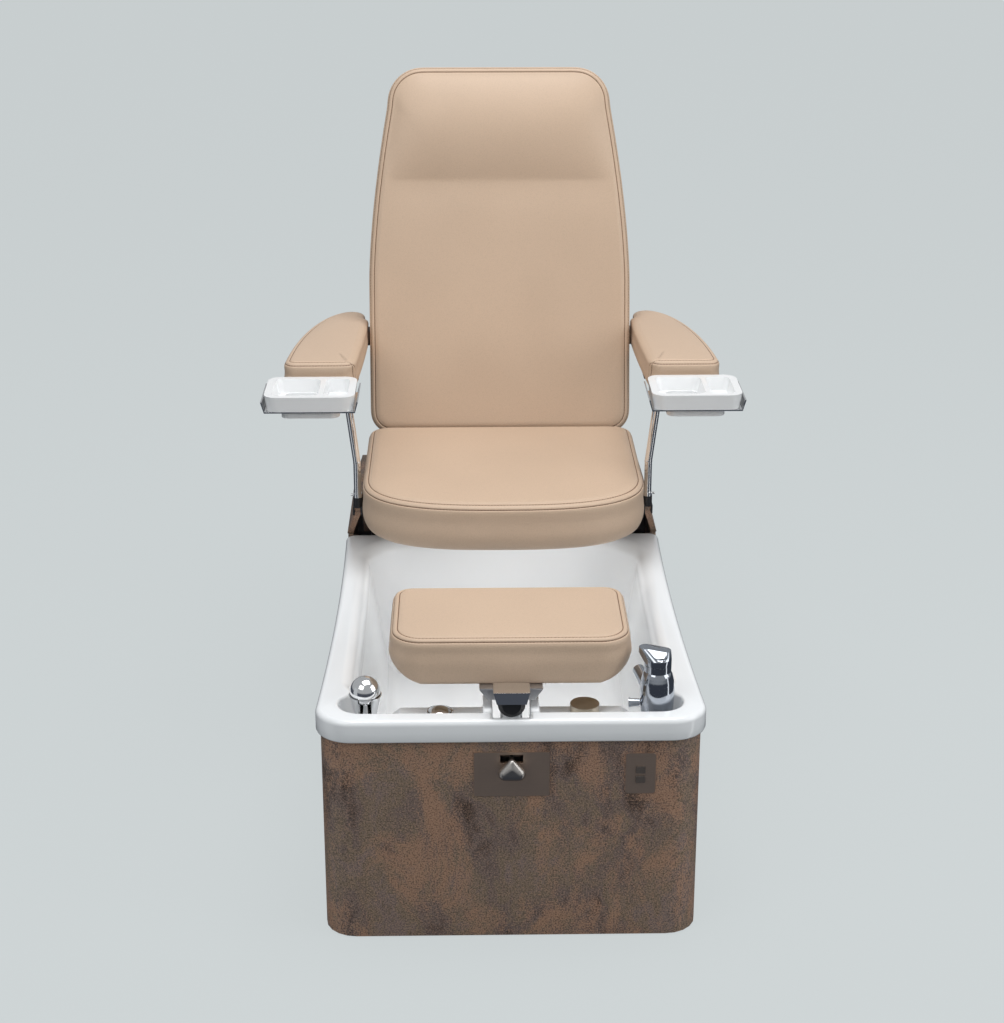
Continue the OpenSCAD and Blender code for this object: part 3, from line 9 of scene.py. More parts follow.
import bpy
import numpy as np
from bpy.props import FloatProperty, FloatVectorProperty, IntProperty, PointerProperty
from mathutils import Matrix, Vector


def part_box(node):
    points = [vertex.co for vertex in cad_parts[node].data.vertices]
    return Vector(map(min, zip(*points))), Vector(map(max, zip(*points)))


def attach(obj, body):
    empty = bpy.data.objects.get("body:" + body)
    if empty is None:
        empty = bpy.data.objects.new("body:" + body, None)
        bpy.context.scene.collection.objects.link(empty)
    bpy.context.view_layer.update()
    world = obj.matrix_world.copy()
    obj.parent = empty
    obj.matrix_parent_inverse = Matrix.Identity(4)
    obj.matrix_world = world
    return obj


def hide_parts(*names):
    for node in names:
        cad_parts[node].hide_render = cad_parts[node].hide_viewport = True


bl_info = {
    "name": "Pedicure bench",
    "version": (1, 0, 0),
    "blender": (4, 5, 0),
    "location": "3D View > Sidebar > Bench",
    "description": "Cushions, tub, fittings and finishes of a pedicure bench",
    "category": "Object",
}

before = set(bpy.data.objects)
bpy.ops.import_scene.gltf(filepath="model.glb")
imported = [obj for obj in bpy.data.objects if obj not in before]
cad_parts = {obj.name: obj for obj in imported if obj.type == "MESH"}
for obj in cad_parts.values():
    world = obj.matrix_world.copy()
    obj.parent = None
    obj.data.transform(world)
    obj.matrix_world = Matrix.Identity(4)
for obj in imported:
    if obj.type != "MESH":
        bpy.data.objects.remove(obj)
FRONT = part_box("cabinet_skirt")[0][1]
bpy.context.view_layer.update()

CELLS_PER_METRE = 520.0 * 1.4  # of the leathercloth's grain, for pebbles of 1 mm
GROOVE = 1.5  # depth and half width of a seam's groove
SWELL = 0.9  # rise of the strip between two seams
GROOVE_SHADE = 0.9  # half width of the painted shade in a groove
FADE = 3.0  # run below the crown over which the grooves end
FLATTEN = 2.4  # how soon a crown goes flat
LEAN = math.radians(14)  # of the backrest


# ---------------------------------------------------------------- shape helpers


def place(points):
    """Millimetres from the cabinet's front become metres in the frame."""
    out = np.asarray(points, float) / 1000.0
    out[..., 1] += FRONT
    return out


def arc(x, y, r, start, turn=90.0, n=24):
    """Points on a circle about (x, y), from the start angle through turn degrees."""
    a = np.radians(start + turn * np.linspace(0.0, 1.0, n))
    return np.stack([x + r * np.cos(a), y + r * np.sin(a)], -1)


def even(points, n, soft=0.0):
    """A closed line at n equal steps; soft rounds its corners with a Gauss filter of that width."""
    p = np.vstack([points, points[:1]])
    p = p[np.r_[True, np.linalg.norm(np.diff(p, axis=0), axis=1) > 1e-6]]
    s = np.r_[0.0, np.cumsum(np.linalg.norm(np.diff(p, axis=0), axis=1))]
    t = np.linspace(0.0, s[-1], n, endpoint=False)
    q = np.stack([np.interp(t, s, p[:, k]) for k in range(p.shape[1])], -1)
    if soft:
        f = np.fft.fftfreq(n, s[-1] / n)
        q = np.fft.ifft(np.fft.fft(q, axis=0) * np.exp(-2 * (math.pi * f * soft) ** 2)[:, None], axis=0).real
    return q


def blurred(points, share, n=1024):
    """A closed line after a Gauss filter along its own run, as wide as the given share of the whole run."""
    p = np.vstack([points, points[:1]])
    run = np.r_[0.0, np.cumsum(np.linalg.norm(np.diff(p, axis=0), axis=1))]
    t = np.linspace(0, run[-1], n, endpoint=False)
    z = np.interp(t, run, p[:, 0]) + 1j * np.interp(t, run, p[:, 1])
    waves = np.fft.fftfreq(n, 1 / n)
    z = np.fft.ifft(np.fft.fft(z) * np.exp(-0.5 * (2 * math.pi * share * waves) ** 2))
    t, z = np.r_[t, run[-1]], np.r_[z, z[:1]]
    return np.stack([np.interp(run[:-1], t, z.real), np.interp(run[:-1], t, z.imag)], -1)


def outward(q):
    """Unit normals of a closed plan line that runs anticlockwise: the tangent turned by -90 degrees."""
    t = np.roll(q, -1, axis=0) - np.roll(q, 1, axis=0)
    n = np.stack([t[:, 1], -t[:, 0]], -1)
    return n / np.linalg.norm(n, axis=1)[:, None]


def eased(x, low, high):
    """0 up to low, 1 from high, and w^2 (3 - 2 w) between, with w the share of the way."""
    w = np.clip((x - low) / (high - low), 0, 1)
    return w**2 * (3 - 2 * w)


def flowing(points, n=14):
    """A Catmull-Rom curve through the points, with n steps to each stretch."""
    p = np.asarray(points, float)
    p = np.vstack([2 * p[0] - p[1], p, 2 * p[-1] - p[-2]])
    a, b, c, d = p[:-3, None], p[1:-2, None], p[2:-1, None], p[3:, None]
    t = np.linspace(0.0, 1.0, n, endpoint=False)[None, :, None]
    q = 0.5 * (2 * b + (c - a) * t + (2 * a - 5 * b + 4 * c - d) * t**2 + (3 * b - a - 3 * c + d) * t**3)
    return np.vstack([q.reshape(-1, p.shape[1]), p[-2]])


def mesh_object(name, points, faces, finish, body, seam=None):
    """A mesh from points and arrays of faces, turned so that its closed surface faces out: the volume,
    a sum of a . (b x c) over its triangles, is positive. seam is a value per point that the finish reads."""
    points = np.asarray(points, float)
    tris = np.vstack([f[:, [0, i, i + 1]] for f in faces for i in range(1, f.shape[1] - 1)])
    a, b, c = points[tris[:, 0]], points[tris[:, 1]], points[tris[:, 2]]
    if np.einsum("ij,ij->i", a, np.cross(b, c)).sum() < 0:
        faces = [f[:, ::-1] for f in faces]
    mesh = bpy.data.meshes.new(name)
    mesh.from_pydata(place(points).tolist(), [], [row for f in faces for row in f.tolist()])
    mesh.polygons.foreach_set("use_smooth", np.ones(len(mesh.polygons), bool))
    if seam is not None:
        mesh.attributes.new("seam", "FLOAT", "POINT").data.foreach_set("value", np.asarray(seam, np.float32))
    mesh.materials.append(finish)
    mesh.update()
    obj = bpy.data.objects.new(name, mesh)
    bpy.context.scene.collection.objects.link(obj)
    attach(obj, body)
    return obj


def ring_faces(rows, n):
    """Quads between neighbouring rings of n points."""
    i = np.arange(rows - 1)[:, None] * n
    j = np.arange(n)
    k = np.roll(j, -1)
    return np.stack([i + j, i + k, i + n + k, i + n + j], -1).reshape(-1, 4)


def loft(rings):
    """Rings (rows, n, 3) joined by quads; each end is closed by a fan about its ring's middle.
    The middles are the last two points: the first ring's, then the last ring's."""
    rows, n = rings.shape[:2]
    j = np.arange(n)
    k = np.roll(j, -1)
    last = (rows - 1) * n
    ends = rings[[0, -1]]
    middles = (ends.max(1) + ends.min(1)) / 2
    start = np.stack([k, j, np.full(n, rows * n)], -1)
    end = np.stack([j + last, k + last, np.full(n, rows * n + 1)], -1)
    return np.vstack([rings.reshape(-1, 3), middles]), [ring_faces(rows, n), start, end]


def joined(parts):
    """Several (points, faces) shapes as one."""
    points, faces, first = [], [], 0
    for p, f in parts:
        points.append(p)
        faces += [g + first for g in f]
        first += len(p)
    return np.vstack(points), faces


# ---------------------------------------------------------------- shader helpers


class Wire:
    """A socket whose sums, differences and products add Math nodes."""

    def __init__(self, sheet, socket):
        self.sheet, self.socket = sheet, socket

    def math(self, operation, *values):
        """A Math node on the given values and sockets."""
        keys = {f"i{k}": v for k, v in enumerate(values)}
        return self.sheet.add("ShaderNodeMath", {"operation": operation}, **keys)

    def __add__(self, other):
        return self.math("ADD", self, other)

    def __sub__(self, other):
        return self.math("SUBTRACT", self, other)

    def __rsub__(self, other):
        return self.math("SUBTRACT", other, self)

    def __mul__(self, other):
        return self.math("MULTIPLY", self, other)

    __radd__ = __add__
    __rmul__ = __mul__

    def within(self, low, high):
        """0 at low, 1 at high, smooth between."""
        return self.sheet.add("ShaderNodeMapRange", {"interpolation_type": "SMOOTHSTEP"},
                              i0=self, i1=low, i2=high)


class Sheet:
    """The node sheet of a finish or of the world; add() is the only way a node gets in."""

    def __init__(self, name, owner=None, place="Object"):
        self.finish = owner or bpy.data.materials.new(name)
        self.finish.use_nodes = True
        self.tree = self.finish.node_tree
        self.tree.nodes.clear()
        self.place = self.add("ShaderNodeTexCoord", out=place)

    def add(self, kind, settings=None, out=0, **sockets):
        """A node of a kind, with its settings first and then its sockets: i3 is the fourth input, and
        Base_Color the input of that name. It gives back the output that out names."""
        node = self.tree.nodes.new(kind)
        for key, value in (settings or {}).items():
            if key == "stops":
                ramp = node.color_ramp
                while len(ramp.elements) < len(value):
                    ramp.elements.new(0.5)
                for element, (at, colour) in zip(ramp.elements, value):
                    element.position, element.color = at, (*colour, 1.0)
            else:
                setattr(node, key, value)
        for key, value in sockets.items():
            socket = node.inputs[int(key[1:]) if key[1:].isdigit() else key.replace("_", " ")]
            if isinstance(value, Wire):
                self.tree.links.new(value.socket, socket)
            else:
                socket.default_value = value
        return Wire(self, node.outputs[out]) if node.outputs else None

    def stretch(self, x, y, z):
        """Object coordinates times a factor for each axis: a small factor draws the pattern out."""
        return self.add("ShaderNodeMapping", i0=self.place, i3=(x, y, z))

    def noise(self, scale, detail=4.0, rough=0.55, at=None, distortion=0.0):
        """Clouds from 0 to 1, of about 1 / scale metres."""
        return self.add("ShaderNodeTexNoise", Vector=at or self.place, Scale=scale, Detail=detail,
                        Roughness=rough, Distortion=distortion)

    def cells(self, scale, feature="F1", at=None):
        """Distance to the nearest of scattered points, about 1 / scale metres apart."""
        return self.add("ShaderNodeTexVoronoi", {"feature": feature}, "Distance",
                        Vector=at or self.place, Scale=scale)

    def waves(self, scale, at=None):
        """Slanting waves from 0 to 1."""
        return self.add("ShaderNodeTexWave", {"bands_direction": "DIAGONAL"}, 1,
                        Vector=at or self.place, Scale=scale)

    def mix(self, share, a, b):
        """Colour a where share is 0, and b where it is 1."""
        a, b = [v if isinstance(v, Wire) else (*v, 1.0) for v in (a, b)]
        return self.add("ShaderNodeMix", {"data_type": "RGBA"}, 2, i0=share, i6=a, i7=b)

    def ramp(self, value, *stops):
        """A colour for each value, straight between the stops (value, colour)."""
        return self.add("ShaderNodeValToRGB", {"stops": stops}, Fac=value)

    def bump(self, height, distance, strength=1.0, **normal):
        """Relief of the given height in metres, on top of another relief where Normal is given."""
        return self.add("ShaderNodeBump", Height=height, Distance=distance, Strength=strength, **normal)

    def close(self, **sockets):
        """The shader and the output: numbers are set on the shader's own sockets."""
        self.show(self.add("ShaderNodeBsdfPrincipled", **sockets))
        return self.finish

    def show(self, shader, kind="ShaderNodeOutputMaterial"):
        """The shader goes to the output node."""
        self.add(kind, Surface=shader)


def toned(colour, factor, lift=0.0):
    """Each of a colour's three numbers times a factor, plus a lift, held at 1."""
    return tuple(min(1.0, factor * v + lift) for v in colour)


# ---------------------------------------------------------------- finishes


def leathercloth(looks):
    """Tan leathercloth: pebbled grain of small cells, a faint cloud of tone, and painted shade in the seams'
    grooves.
    """
    s = Sheet("leathercloth")
    cloud = s.noise(3.2, 2.0)
    seam = s.add("ShaderNodeAttribute", {"attribute_name": "seam"}, "Fac")
    wander = s.add("ShaderNodeTexNoise", None, "Color", Vector=s.place, Scale=260.0)
    wandering = s.add("ShaderNodeMix", {"data_type": "VECTOR"}, 1, i0=0.004, i4=s.place, i5=wander)
    grain = s.cells(CELLS_PER_METRE / looks.grain_mm, at=wandering)
    base = s.mix(cloud.within(0.3, 0.7), toned(looks.leather, 0.965), toned(looks.leather, 1.02))
    base = s.mix(grain.within(0.35, 0.8) * 0.18, base, toned(looks.leather, 0.65))
    # painted shade: the seams' grooves turn toward the thread's colour, as the seam value of the points says
    base = s.mix(seam.within(0.15, 0.9) * 0.85, base, tuple(looks.thread))
    fine = s.bump(grain, 0.0004, 0.35)
    return s.close(Base_Color=base, Roughness=0.42 + 0.12 * cloud,
                   Normal=s.bump(s.noise(40.0, 2.0), 0.0006, 0.25, Normal=fine), IOR=1.47, Sheen_Weight=0.04)


def thread(looks):
    """Brown sewing thread: plies as a fine wave."""
    s = Sheet("thread")
    ply = s.waves(900.0)
    return s.close(Base_Color=s.mix(ply, toned(looks.thread, 0.7), toned(looks.thread, 1.3)),
                   Roughness=0.6 + 0.1 * ply, Normal=s.bump(ply, 0.0001, 0.5))


def stone(looks):
    """Stone laminate: upright clouds of grey violet, olive and near black, rust patches and fine grit."""
    s = Sheet("stone laminate")
    dark, violet = tuple(looks.stone_dark), tuple(looks.stone)
    olive, red = tuple(looks.stone_olive), tuple(looks.stone_rust)
    upright = s.stretch(1.0, 1.0, 0.6)
    cloud = s.noise(9.0, 3.0, 0.5, upright, 0.5) * 0.62 + s.noise(30.0, 5.0, 0.65, upright, 0.7) * 0.38
    grit = s.noise(330.0, 3.0, 0.75)
    elsewhere = s.add("ShaderNodeMapping", i0=upright, i1=(3.1, 1.7, 0.4))
    rust = s.noise(9.0, 8.0, 0.66, elsewhere, 0.5) + (grit - 0.5) * 0.35
    grain = s.noise(900.0, 1.0, 0.5, s.stretch(1.0, 1.0, 0.5))
    base = s.ramp(cloud, (0.36, dark), (0.45, violet), (0.53, olive), (0.60, toned(violet, 1.3)),
                  (0.68, toned(olive, 0.8)))
    base = s.mix(rust.within(0.47, 0.60) * 0.85, base, red)
    base = s.mix(grit.within(0.50, 0.62) * 0.5, base, toned(red, 1.1, 0.05))
    base = s.mix((1.0 - grit).within(0.50, 0.62) * 0.65, base, toned(dark, 0.5))
    base = s.mix(grain.within(0.55, 0.72) * 0.4, base, toned(olive, 2.4))
    return s.close(Base_Color=base, Roughness=0.40 + 0.25 * cloud, Normal=s.bump(grit, 0.00015, 0.3),
                   Coat_Roughness=0.3)


def gloss(name, colour, rough=0.12, ripple=0.0004, coat=0.3):
    """Polished plastic: a slow ripple and a faint change of gloss."""
    s = Sheet(name)
    slow = s.noise(9.0, 2.0)
    wear = s.noise(60.0, 5.0)
    return s.close(Base_Color=s.mix(slow, toned(colour, 0.97), colour), Roughness=rough + 0.07 * wear,
                   Normal=s.bump(slow, ripple, 0.3), Coat_Weight=coat, Coat_Roughness=0.05)


def metal(name, colour, rough=0.08, streak=0.0, stretch=(1.0, 1.0, 1.0)):
    """Metal: smudges in the gloss, and streaks where it is brushed."""
    s = Sheet(name)
    smudge = s.noise(34.0, 5.0)
    lines = s.noise(700.0, 2.0, 0.6, s.stretch(*stretch))
    return s.close(Base_Color=s.mix(smudge * 0.6 + lines * streak, colour, toned(colour, 0.84)), Metallic=1.0,
                   Roughness=rough + 0.08 * smudge + streak * 0.25 * lines,
                   Normal=s.bump(lines, 0.00006, 0.2 + streak))


def paint(name, colour, rough=0.4):
    """Powder paint: orange peel and rubbed patches."""
    s = Sheet(name)
    peel = s.cells(420.0, "SMOOTH_F1")
    patch = s.noise(18.0, 5.0)
    return s.close(Base_Color=s.mix(patch, toned(colour, 0.8), toned(colour, 1.2)),
                   Roughness=rough + 0.15 * patch, Normal=s.bump(peel, 0.0002, 0.35))


def plastic(name, colour, rough=0.45):
    """Moulded plastic: fine spark texture and slight greying."""
    s = Sheet(name)
    spark = s.noise(900.0, 2.0)
    dust = s.noise(30.0, 6.0)
    return s.close(Base_Color=s.mix(dust * 0.5, colour, toned(colour, 1.35, 0.01)),
                   Roughness=rough + 0.12 * dust, Normal=s.bump(spark, 0.0001, 0.4))


def timber(name, pale, dark, along=(1.0, 1.0, 0.12)):
    """Wood: long streaks of grain with pores."""
    s = Sheet(name)
    run = s.stretch(*along)
    grain = s.noise(46.0, 8.0, 0.6, run, 1.2)
    pores = s.noise(420.0, 2.0, 0.5, run)
    between = tuple((a + b) / 2 for a, b in zip(pale, dark))
    base = s.ramp(grain, (0.32, dark), (0.5, between), (0.66, pale))
    base = s.mix(pores.within(0.58, 0.7) * 0.4, base, toned(dark, 0.6))
    return s.close(Base_Color=base, Roughness=0.5 + 0.15 * grain, Normal=s.bump(pores, 0.0002, 0.3))


def braid(name, colour):
    """Braided hose: the higher of two crossing waves."""
    s = Sheet(name)
    weave = s.waves(260.0)
    weave = weave.math("MAXIMUM", weave, s.waves(260.0, s.stretch(-1.0, 1.0, 1.0)))
    return s.close(Base_Color=s.mix(weave, toned(colour, 0.5), colour), Roughness=0.35 + 0.3 * (1.0 - weave),
                   Normal=s.bump(weave, 0.0004, 0.6))


def make_finishes(looks):
    """Every finish by name."""
    return {
        "upholstery": leathercloth(looks),
        "thread": thread(looks),
        "stone_laminate": stone(looks),
        "dark_laminate": timber("dark laminate", (0.075, 0.045, 0.032), (0.03, 0.018, 0.014)),
        "board": timber("board", (0.42, 0.29, 0.17), (0.29, 0.19, 0.105), (0.12, 1.0, 1.0)),
        "shell_white": gloss("white acrylic", (0.86, 0.88, 0.895), 0.1),
        "tray_white": gloss("white tray plastic", (0.87, 0.88, 0.885), 0.16),
        "chrome": metal("chrome", (0.86, 0.87, 0.88), 0.05),
        # painted shade: the chrome's colour is darkened to stand in for the dark surroundings it reflects
        "dark_chrome": metal("dark chrome", (0.44, 0.47, 0.52), 0.05),
        "satin_nickel": metal("satin nickel", (0.66, 0.58, 0.47), 0.26, 0.2),
        "steel": metal("brushed steel", (0.6, 0.6, 0.61), 0.28, 0.5, (0.06, 1.0, 1.0)),
        "bronze_plate": metal("bronze plate", (0.72, 0.55, 0.43), 0.34, 0.5, (0.05, 1.0, 1.0)),
        "pewter": metal("pewter", (0.42, 0.40, 0.38), 0.24, 0.3, (1.0, 1.0, 0.1)),
        "brass": metal("brass", (0.72, 0.52, 0.22), 0.2, 0.2),
        "frame_paint": paint("frame paint", (0.045, 0.045, 0.05)),
        "button_grey": plastic("button grey", (0.075, 0.062, 0.055)),
        "black_plastic": plastic("black plastic", (0.012, 0.012, 0.014), 0.32),
        "grey_hose": plastic("grey hose", (0.17, 0.175, 0.18), 0.5),
        "pipe_plastic": plastic("pipe plastic", (0.68, 0.68, 0.66), 0.35),
        "braid": braid("braid", (0.5, 0.51, 0.52)),
    }


# ---------------------------------------------------------------- settings


def colour_setting(name, description, default):
    """A colour in the panel."""
    return FloatVectorProperty(name=name, description=description, subtype="COLOR", default=default,
                               min=0, max=1)


def number_setting(name, description, default, low=0.0, high=1000.0):
    """A number in the panel."""
    return FloatProperty(name=name, description=description, default=default, min=low, max=high)


class BenchLooks(bpy.types.PropertyGroup):
    """Sizes and colours that a user would change"""

    leather: colour_setting("Leathercloth", "Colour of the cushions", (0.610, 0.452, 0.328))
    thread: colour_setting("Thread", "Colour of the stitching", (0.14, 0.062, 0.03))
    stone: colour_setting("Stone", "Grey violet tone of the laminate", (0.175, 0.130, 0.118))
    stone_olive: colour_setting("Stone, olive", "Olive tone of the laminate", (0.215, 0.160, 0.110))
    stone_dark: colour_setting("Stone, dark", "Dark clouds of the laminate", (0.062, 0.040, 0.032))
    stone_rust: colour_setting("Stone, rust", "Rust clouds of the laminate", (0.40, 0.225, 0.140))
    grain_mm: number_setting("Grain", "Size of the leathercloth's pebbles in millimetres", 1.4, 0.5, 4)
    stitch_mm: number_setting("Stitch", "Pitch of the stitches in millimetres", 6.5, 3, 12)
    seam_gap_mm: number_setting("Seam strip", "Width between the two seams in millimetres", 10.0, 4, 20)
    round_steps: IntProperty(name="Round steps", description="Points round a cushion's outline", default=640,
                             min=64, max=900)
    backdrop: colour_setting("Backdrop", "Colour of the floor and backdrop", (0.610, 0.651, 0.658))
    key_watts: number_setting("Key light", "Power of the large soft lamp", 24.0)
    top_watts: number_setting("Top light", "Power of the lamp above the bench", 112.0)
    basin_watts: number_setting("Basin light", "Power of the lamp under the seat", 0.42)
    fill_watts: number_setting("Fill light", "Power of the side lamp", 26.0)
    lens: number_setting("Lens", "Focal length in millimetres", 71.86, 20, 200)


FINISH = {}


def looks_of(context):
    """The settings that the panel shows."""
    return context.scene.pedicure_bench


# ---------------------------------------------------------------- cushions


def stitches(line, up, pitch, keep, length=0.7, r=0.62):
    """Stitches along a closed line: short five-sided tubes whose ends dip into the leathercloth.
    line is (n, 3) and up the surface's unit normals; each stitch lies along the line's own direction.
    length is a stitch's share of the pitch, r its radius, and keep says where there are stitches."""
    p, u = np.vstack([line, line[:1]]), np.vstack([up, up[:1]])
    s = np.r_[0.0, np.cumsum(np.linalg.norm(np.diff(p, axis=0), axis=1))]
    m = int(s[-1] // pitch)
    t = (np.arange(m) + 0.5) * s[-1] / m
    t = t[np.interp(t, s, np.r_[keep, keep[:1]].astype(float)) > 0.999]
    at = np.stack([np.interp(t, s, p[:, k]) for k in range(3)], -1)
    n = np.stack([np.interp(t, s, u[:, k]) for k in range(3)], -1)
    ahead = np.stack([np.interp((t + 0.5) % s[-1], s, p[:, k]) for k in range(3)], -1) - at
    ahead /= np.linalg.norm(ahead, axis=1)[:, None]
    n /= np.linalg.norm(n, axis=1)[:, None]
    cross = np.cross(ahead, n)
    run = np.array([-0.5, -0.3, 0.3, 0.5]) * length * pitch
    lift = np.array([-0.9, 0.25, 0.25, -0.9])
    size = np.array([0.45, 1.0, 1.0, 0.45]) * r
    a = np.arange(5) * 2 * math.pi / 5
    c = at[:, None, :] + run[None, :, None] * ahead[:, None] + lift[None, :, None] * n[:, None]
    a = a[None, None, :, None]
    ring = np.cos(a) * cross[:, None, None] + np.sin(a) * n[:, None, None]
    points = (c[:, :, None] + size[None, :, None, None] * ring).reshape(-1, 3)
    first = 20 * np.arange(len(t))[:, None, None]
    quads = (ring_faces(4, 5)[None] + first).reshape(-1, 4)
    ends = (np.array([[4, 3, 2, 1, 0], [15, 16, 17, 18, 19]])[None] + first).reshape(-1, 5)
    return points, [quads, ends]


def side_profile(steps, seams, even_step=0.0):
    """A cushion's side as a fine line of (inset, height, inset along y), a curve through the steps, with
    its run length and the run lengths of the seams."""
    steps = np.array([[*q, q[0]] if len(q) == 2 else q for q in steps], float)
    line = flowing(steps)
    s = np.r_[0.0, np.cumsum(np.hypot(*np.diff(line[:, :2], axis=0).T))]
    top = np.argmax(line[:, 1] > 0.6 * line[-1, 1])
    marks = [np.interp(d, line[top:, 0], s[top:]) for d in seams]
    if even_step:
        t = np.linspace(0, s[-1], int(s[-1] / even_step))
    else:
        t = np.unique(np.r_[np.linspace(0, s[-1], 30), *[m + np.linspace(-4.5, 4.5, 13) for m in marks],
                            np.linspace(marks[0] - 7, marks[-1] + 7, 22)])
    t = t[(t >= 0) & (t <= s[-1])]
    return np.stack([np.interp(t, s, line[:, k]) for k in range(3)], -1), t, marks


def cushion(name, outline, steps, seams, crown, to_space, body, looks, nodes,
            under=3.0, rows=30, fall=None, relief=None):
    """A crowned closed cushion: rings of the outline drawn in by the side profile, then rings that
    shrink to the middle and grow round, while the height rises as crown (1 - (1 - u)^FLATTEN). The
    underside is set back a little. Each seam is a groove -GROOVE exp(-(d / GROOVE)^2) at distance d, and
    the strip between the two swells by SWELL exp(-between^2). fall moves the seams down the side by that
    many millimetres at each point of the outline, and relief(x, y) adds height to the crown."""
    normal = outward(outline)
    n = len(outline)
    q, t, marks = side_profile(steps, seams, 1.3 if fall is not None else 0.0)
    falls = np.zeros((len(seams), n)) if fall is None else fall
    ahead = np.linalg.norm(np.roll(outline, -1, axis=0) - np.roll(outline, 1, axis=0), axis=1)
    slope = np.sqrt(1 + ((np.roll(falls, -1, axis=1) - np.roll(falls, 1, axis=1)) / ahead) ** 2)
    at = np.array(marks)[:, None] - falls
    d = (t[:, None, None] - at[None]) / slope[None]
    groove = np.exp(-((d / GROOVE) ** 2)).sum(1)
    # painted shade in the grooves, kept as the points' seam value for the leathercloth
    groove_shade = np.exp(-((d / GROOVE_SHADE) ** 2)).sum(1)
    between = d.mean(1) / (0.35 * abs(marks[-1] - marks[0]) + 0.5)
    fade = np.clip((t[-1] - t) / FADE, 0, 1)[:, None]
    push = (-GROOVE * groove + SWELL * np.exp(-(between**2))) * fade
    tangent = np.gradient(q[:, :2], t, axis=0)
    tangent /= np.linalg.norm(tangent, axis=1)[:, None]
    lean_out, lean_up = tangent[:, 1], tangent[:, 0]
    inset = q[:, None, [0, 2]] - (lean_out[:, None] * push)[..., None]
    side = outline[None] - inset * normal[None]
    side = np.concatenate([side, (q[:, 1, None] + lean_up[:, None] * push)[..., None]], -1)

    middle = np.r_[(outline.max(0) + outline.min(0)) / 2, 0.0]
    u = np.linspace(0, 1, rows)[1:, None, None]
    soft = np.c_[blurred(side[-1, :, :2], 0.045), side[-1, :, 2]]
    inner = (side[-1] * (1 - u) ** 3 + soft * (1 - (1 - u) ** 3)) * (1 - u) + middle * u
    v = u[..., 0]
    inner[..., 2] = side[-1, 0, 2] + crown * (1 - (1 - v) ** FLATTEN)
    inner[..., 2] += 0.5 * np.sin(inner[..., 0] / 37.0) * np.sin(inner[..., 1] / 53.0 + 1.0) * (v * (1 - v) * 4)
    if relief is not None:
        inner[..., 2] += relief(inner[..., 0], inner[..., 1]) * (1 - (1 - v) ** 8)

    foot = side[:1] * 0.985 + middle * 0.015
    foot[..., 2] = under
    points, faces = loft(np.concatenate([foot, side, inner[:-1]]))
    points[-1, 2] = inner[-1, 0, 2]
    points[-2, 2] = under
    # each point's seam value: the painted shade in the grooves
    shade = np.zeros(len(points))
    shade[n : n * (1 + len(q))] = groove_shade.ravel()
    obj = mesh_object(name, to_space(points), faces, FINISH["upholstery"], body, shade)
    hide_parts(*nodes)

    sewn = []
    for k in range(len(seams)):
        row = np.clip(np.interp(at[k], t, np.arange(len(t))), 0, len(t) - 1.001)
        low, share, j = row.astype(int), (row % 1)[:, None], np.arange(n)
        line = side[low, j] * (1 - share) + side[low + 1, j] * share
        up = np.stack([lean_out[low] * normal[:, 0], lean_out[low] * normal[:, 1], lean_up[low]], -1)
        a, b = to_space(line), to_space(line + up / np.linalg.norm(up, axis=1)[:, None])
        sewn.append(stitches(a, b - a, looks.stitch_mm, at[k] > 3.0))
    mesh_object(name + "_stitching", *joined(sewn), FINISH["thread"], body)


def cushion_steps(thick, foot, edge, draw, crown):
    """(inset, height) of a cushion's side: turned in at the foot, drawn in under the top seam."""
    return [[foot, 0], [foot * 0.35, thick * 0.10], [0, thick * 0.32], [draw, thick * 0.62],
            [edge * 0.2, thick * 0.86], [edge, thick * 0.96], [edge * 2.4, thick + crown * 0.25]]


def raised(height):
    """A function that lifts points from the floor to a cushion's underside."""
    return lambda points: points + np.array([0, 0, height])


class BENCH_OT_seat(bpy.types.Operator):
    """Seat cushion with its curved nose"""

    bl_idname = "bench.seat"
    bl_label = "Seat cushion"

    def execute(self, context):
        """The nose is a superellipse, x = h cos^0.72 a and y = 190 (1 - sin^0.78 a) behind the front."""
        looks = looks_of(context)
        half, front, rear, r = 302.0, 613.0, 1151.0, 45.0
        a = np.radians(np.linspace(180, 360, 160))
        c, s = np.cos(a), np.sin(a)
        nose = np.stack([half * np.sign(c) * abs(c) ** 0.72, front + 190 * (1 - abs(s) ** 0.78)], -1)
        line = np.vstack([nose, arc(half - r, rear - r, r, 0), arc(r - half, rear - r, r, 90)])
        cushion("seat_cushion_sewn", even(line, looks.round_steps, 7.0), cushion_steps(105, 22, 9, 2, 8),
                (3.5, 3.5 + looks.seam_gap_mm), 6.0, raised(530.0), "seat", looks, ["seat_cushion"])
        return {"FINISHED"}


def back_to_space(points):
    """The backrest's own plane, leaning back by LEAN: (x, height, thickness) to the bench's axes."""
    y, z = 90.0 - points[..., 2], points[..., 1]
    return np.stack([points[..., 0], 1150 + y * math.cos(LEAN) + z * math.sin(LEAN),
                     632 - y * math.sin(LEAN) + z * math.cos(LEAN)], -1)


def head_roll(x, z):
    """From a crease at 560 mm the cloth leans out by 26 mm, as a quarter sine up to 730 mm."""
    rise = np.sin(np.clip((z - 560) / 170, 0, 1) * math.pi / 2)
    return 26.0 * rise - 2.0 * np.exp(-(((z - 545) / 40) ** 2))


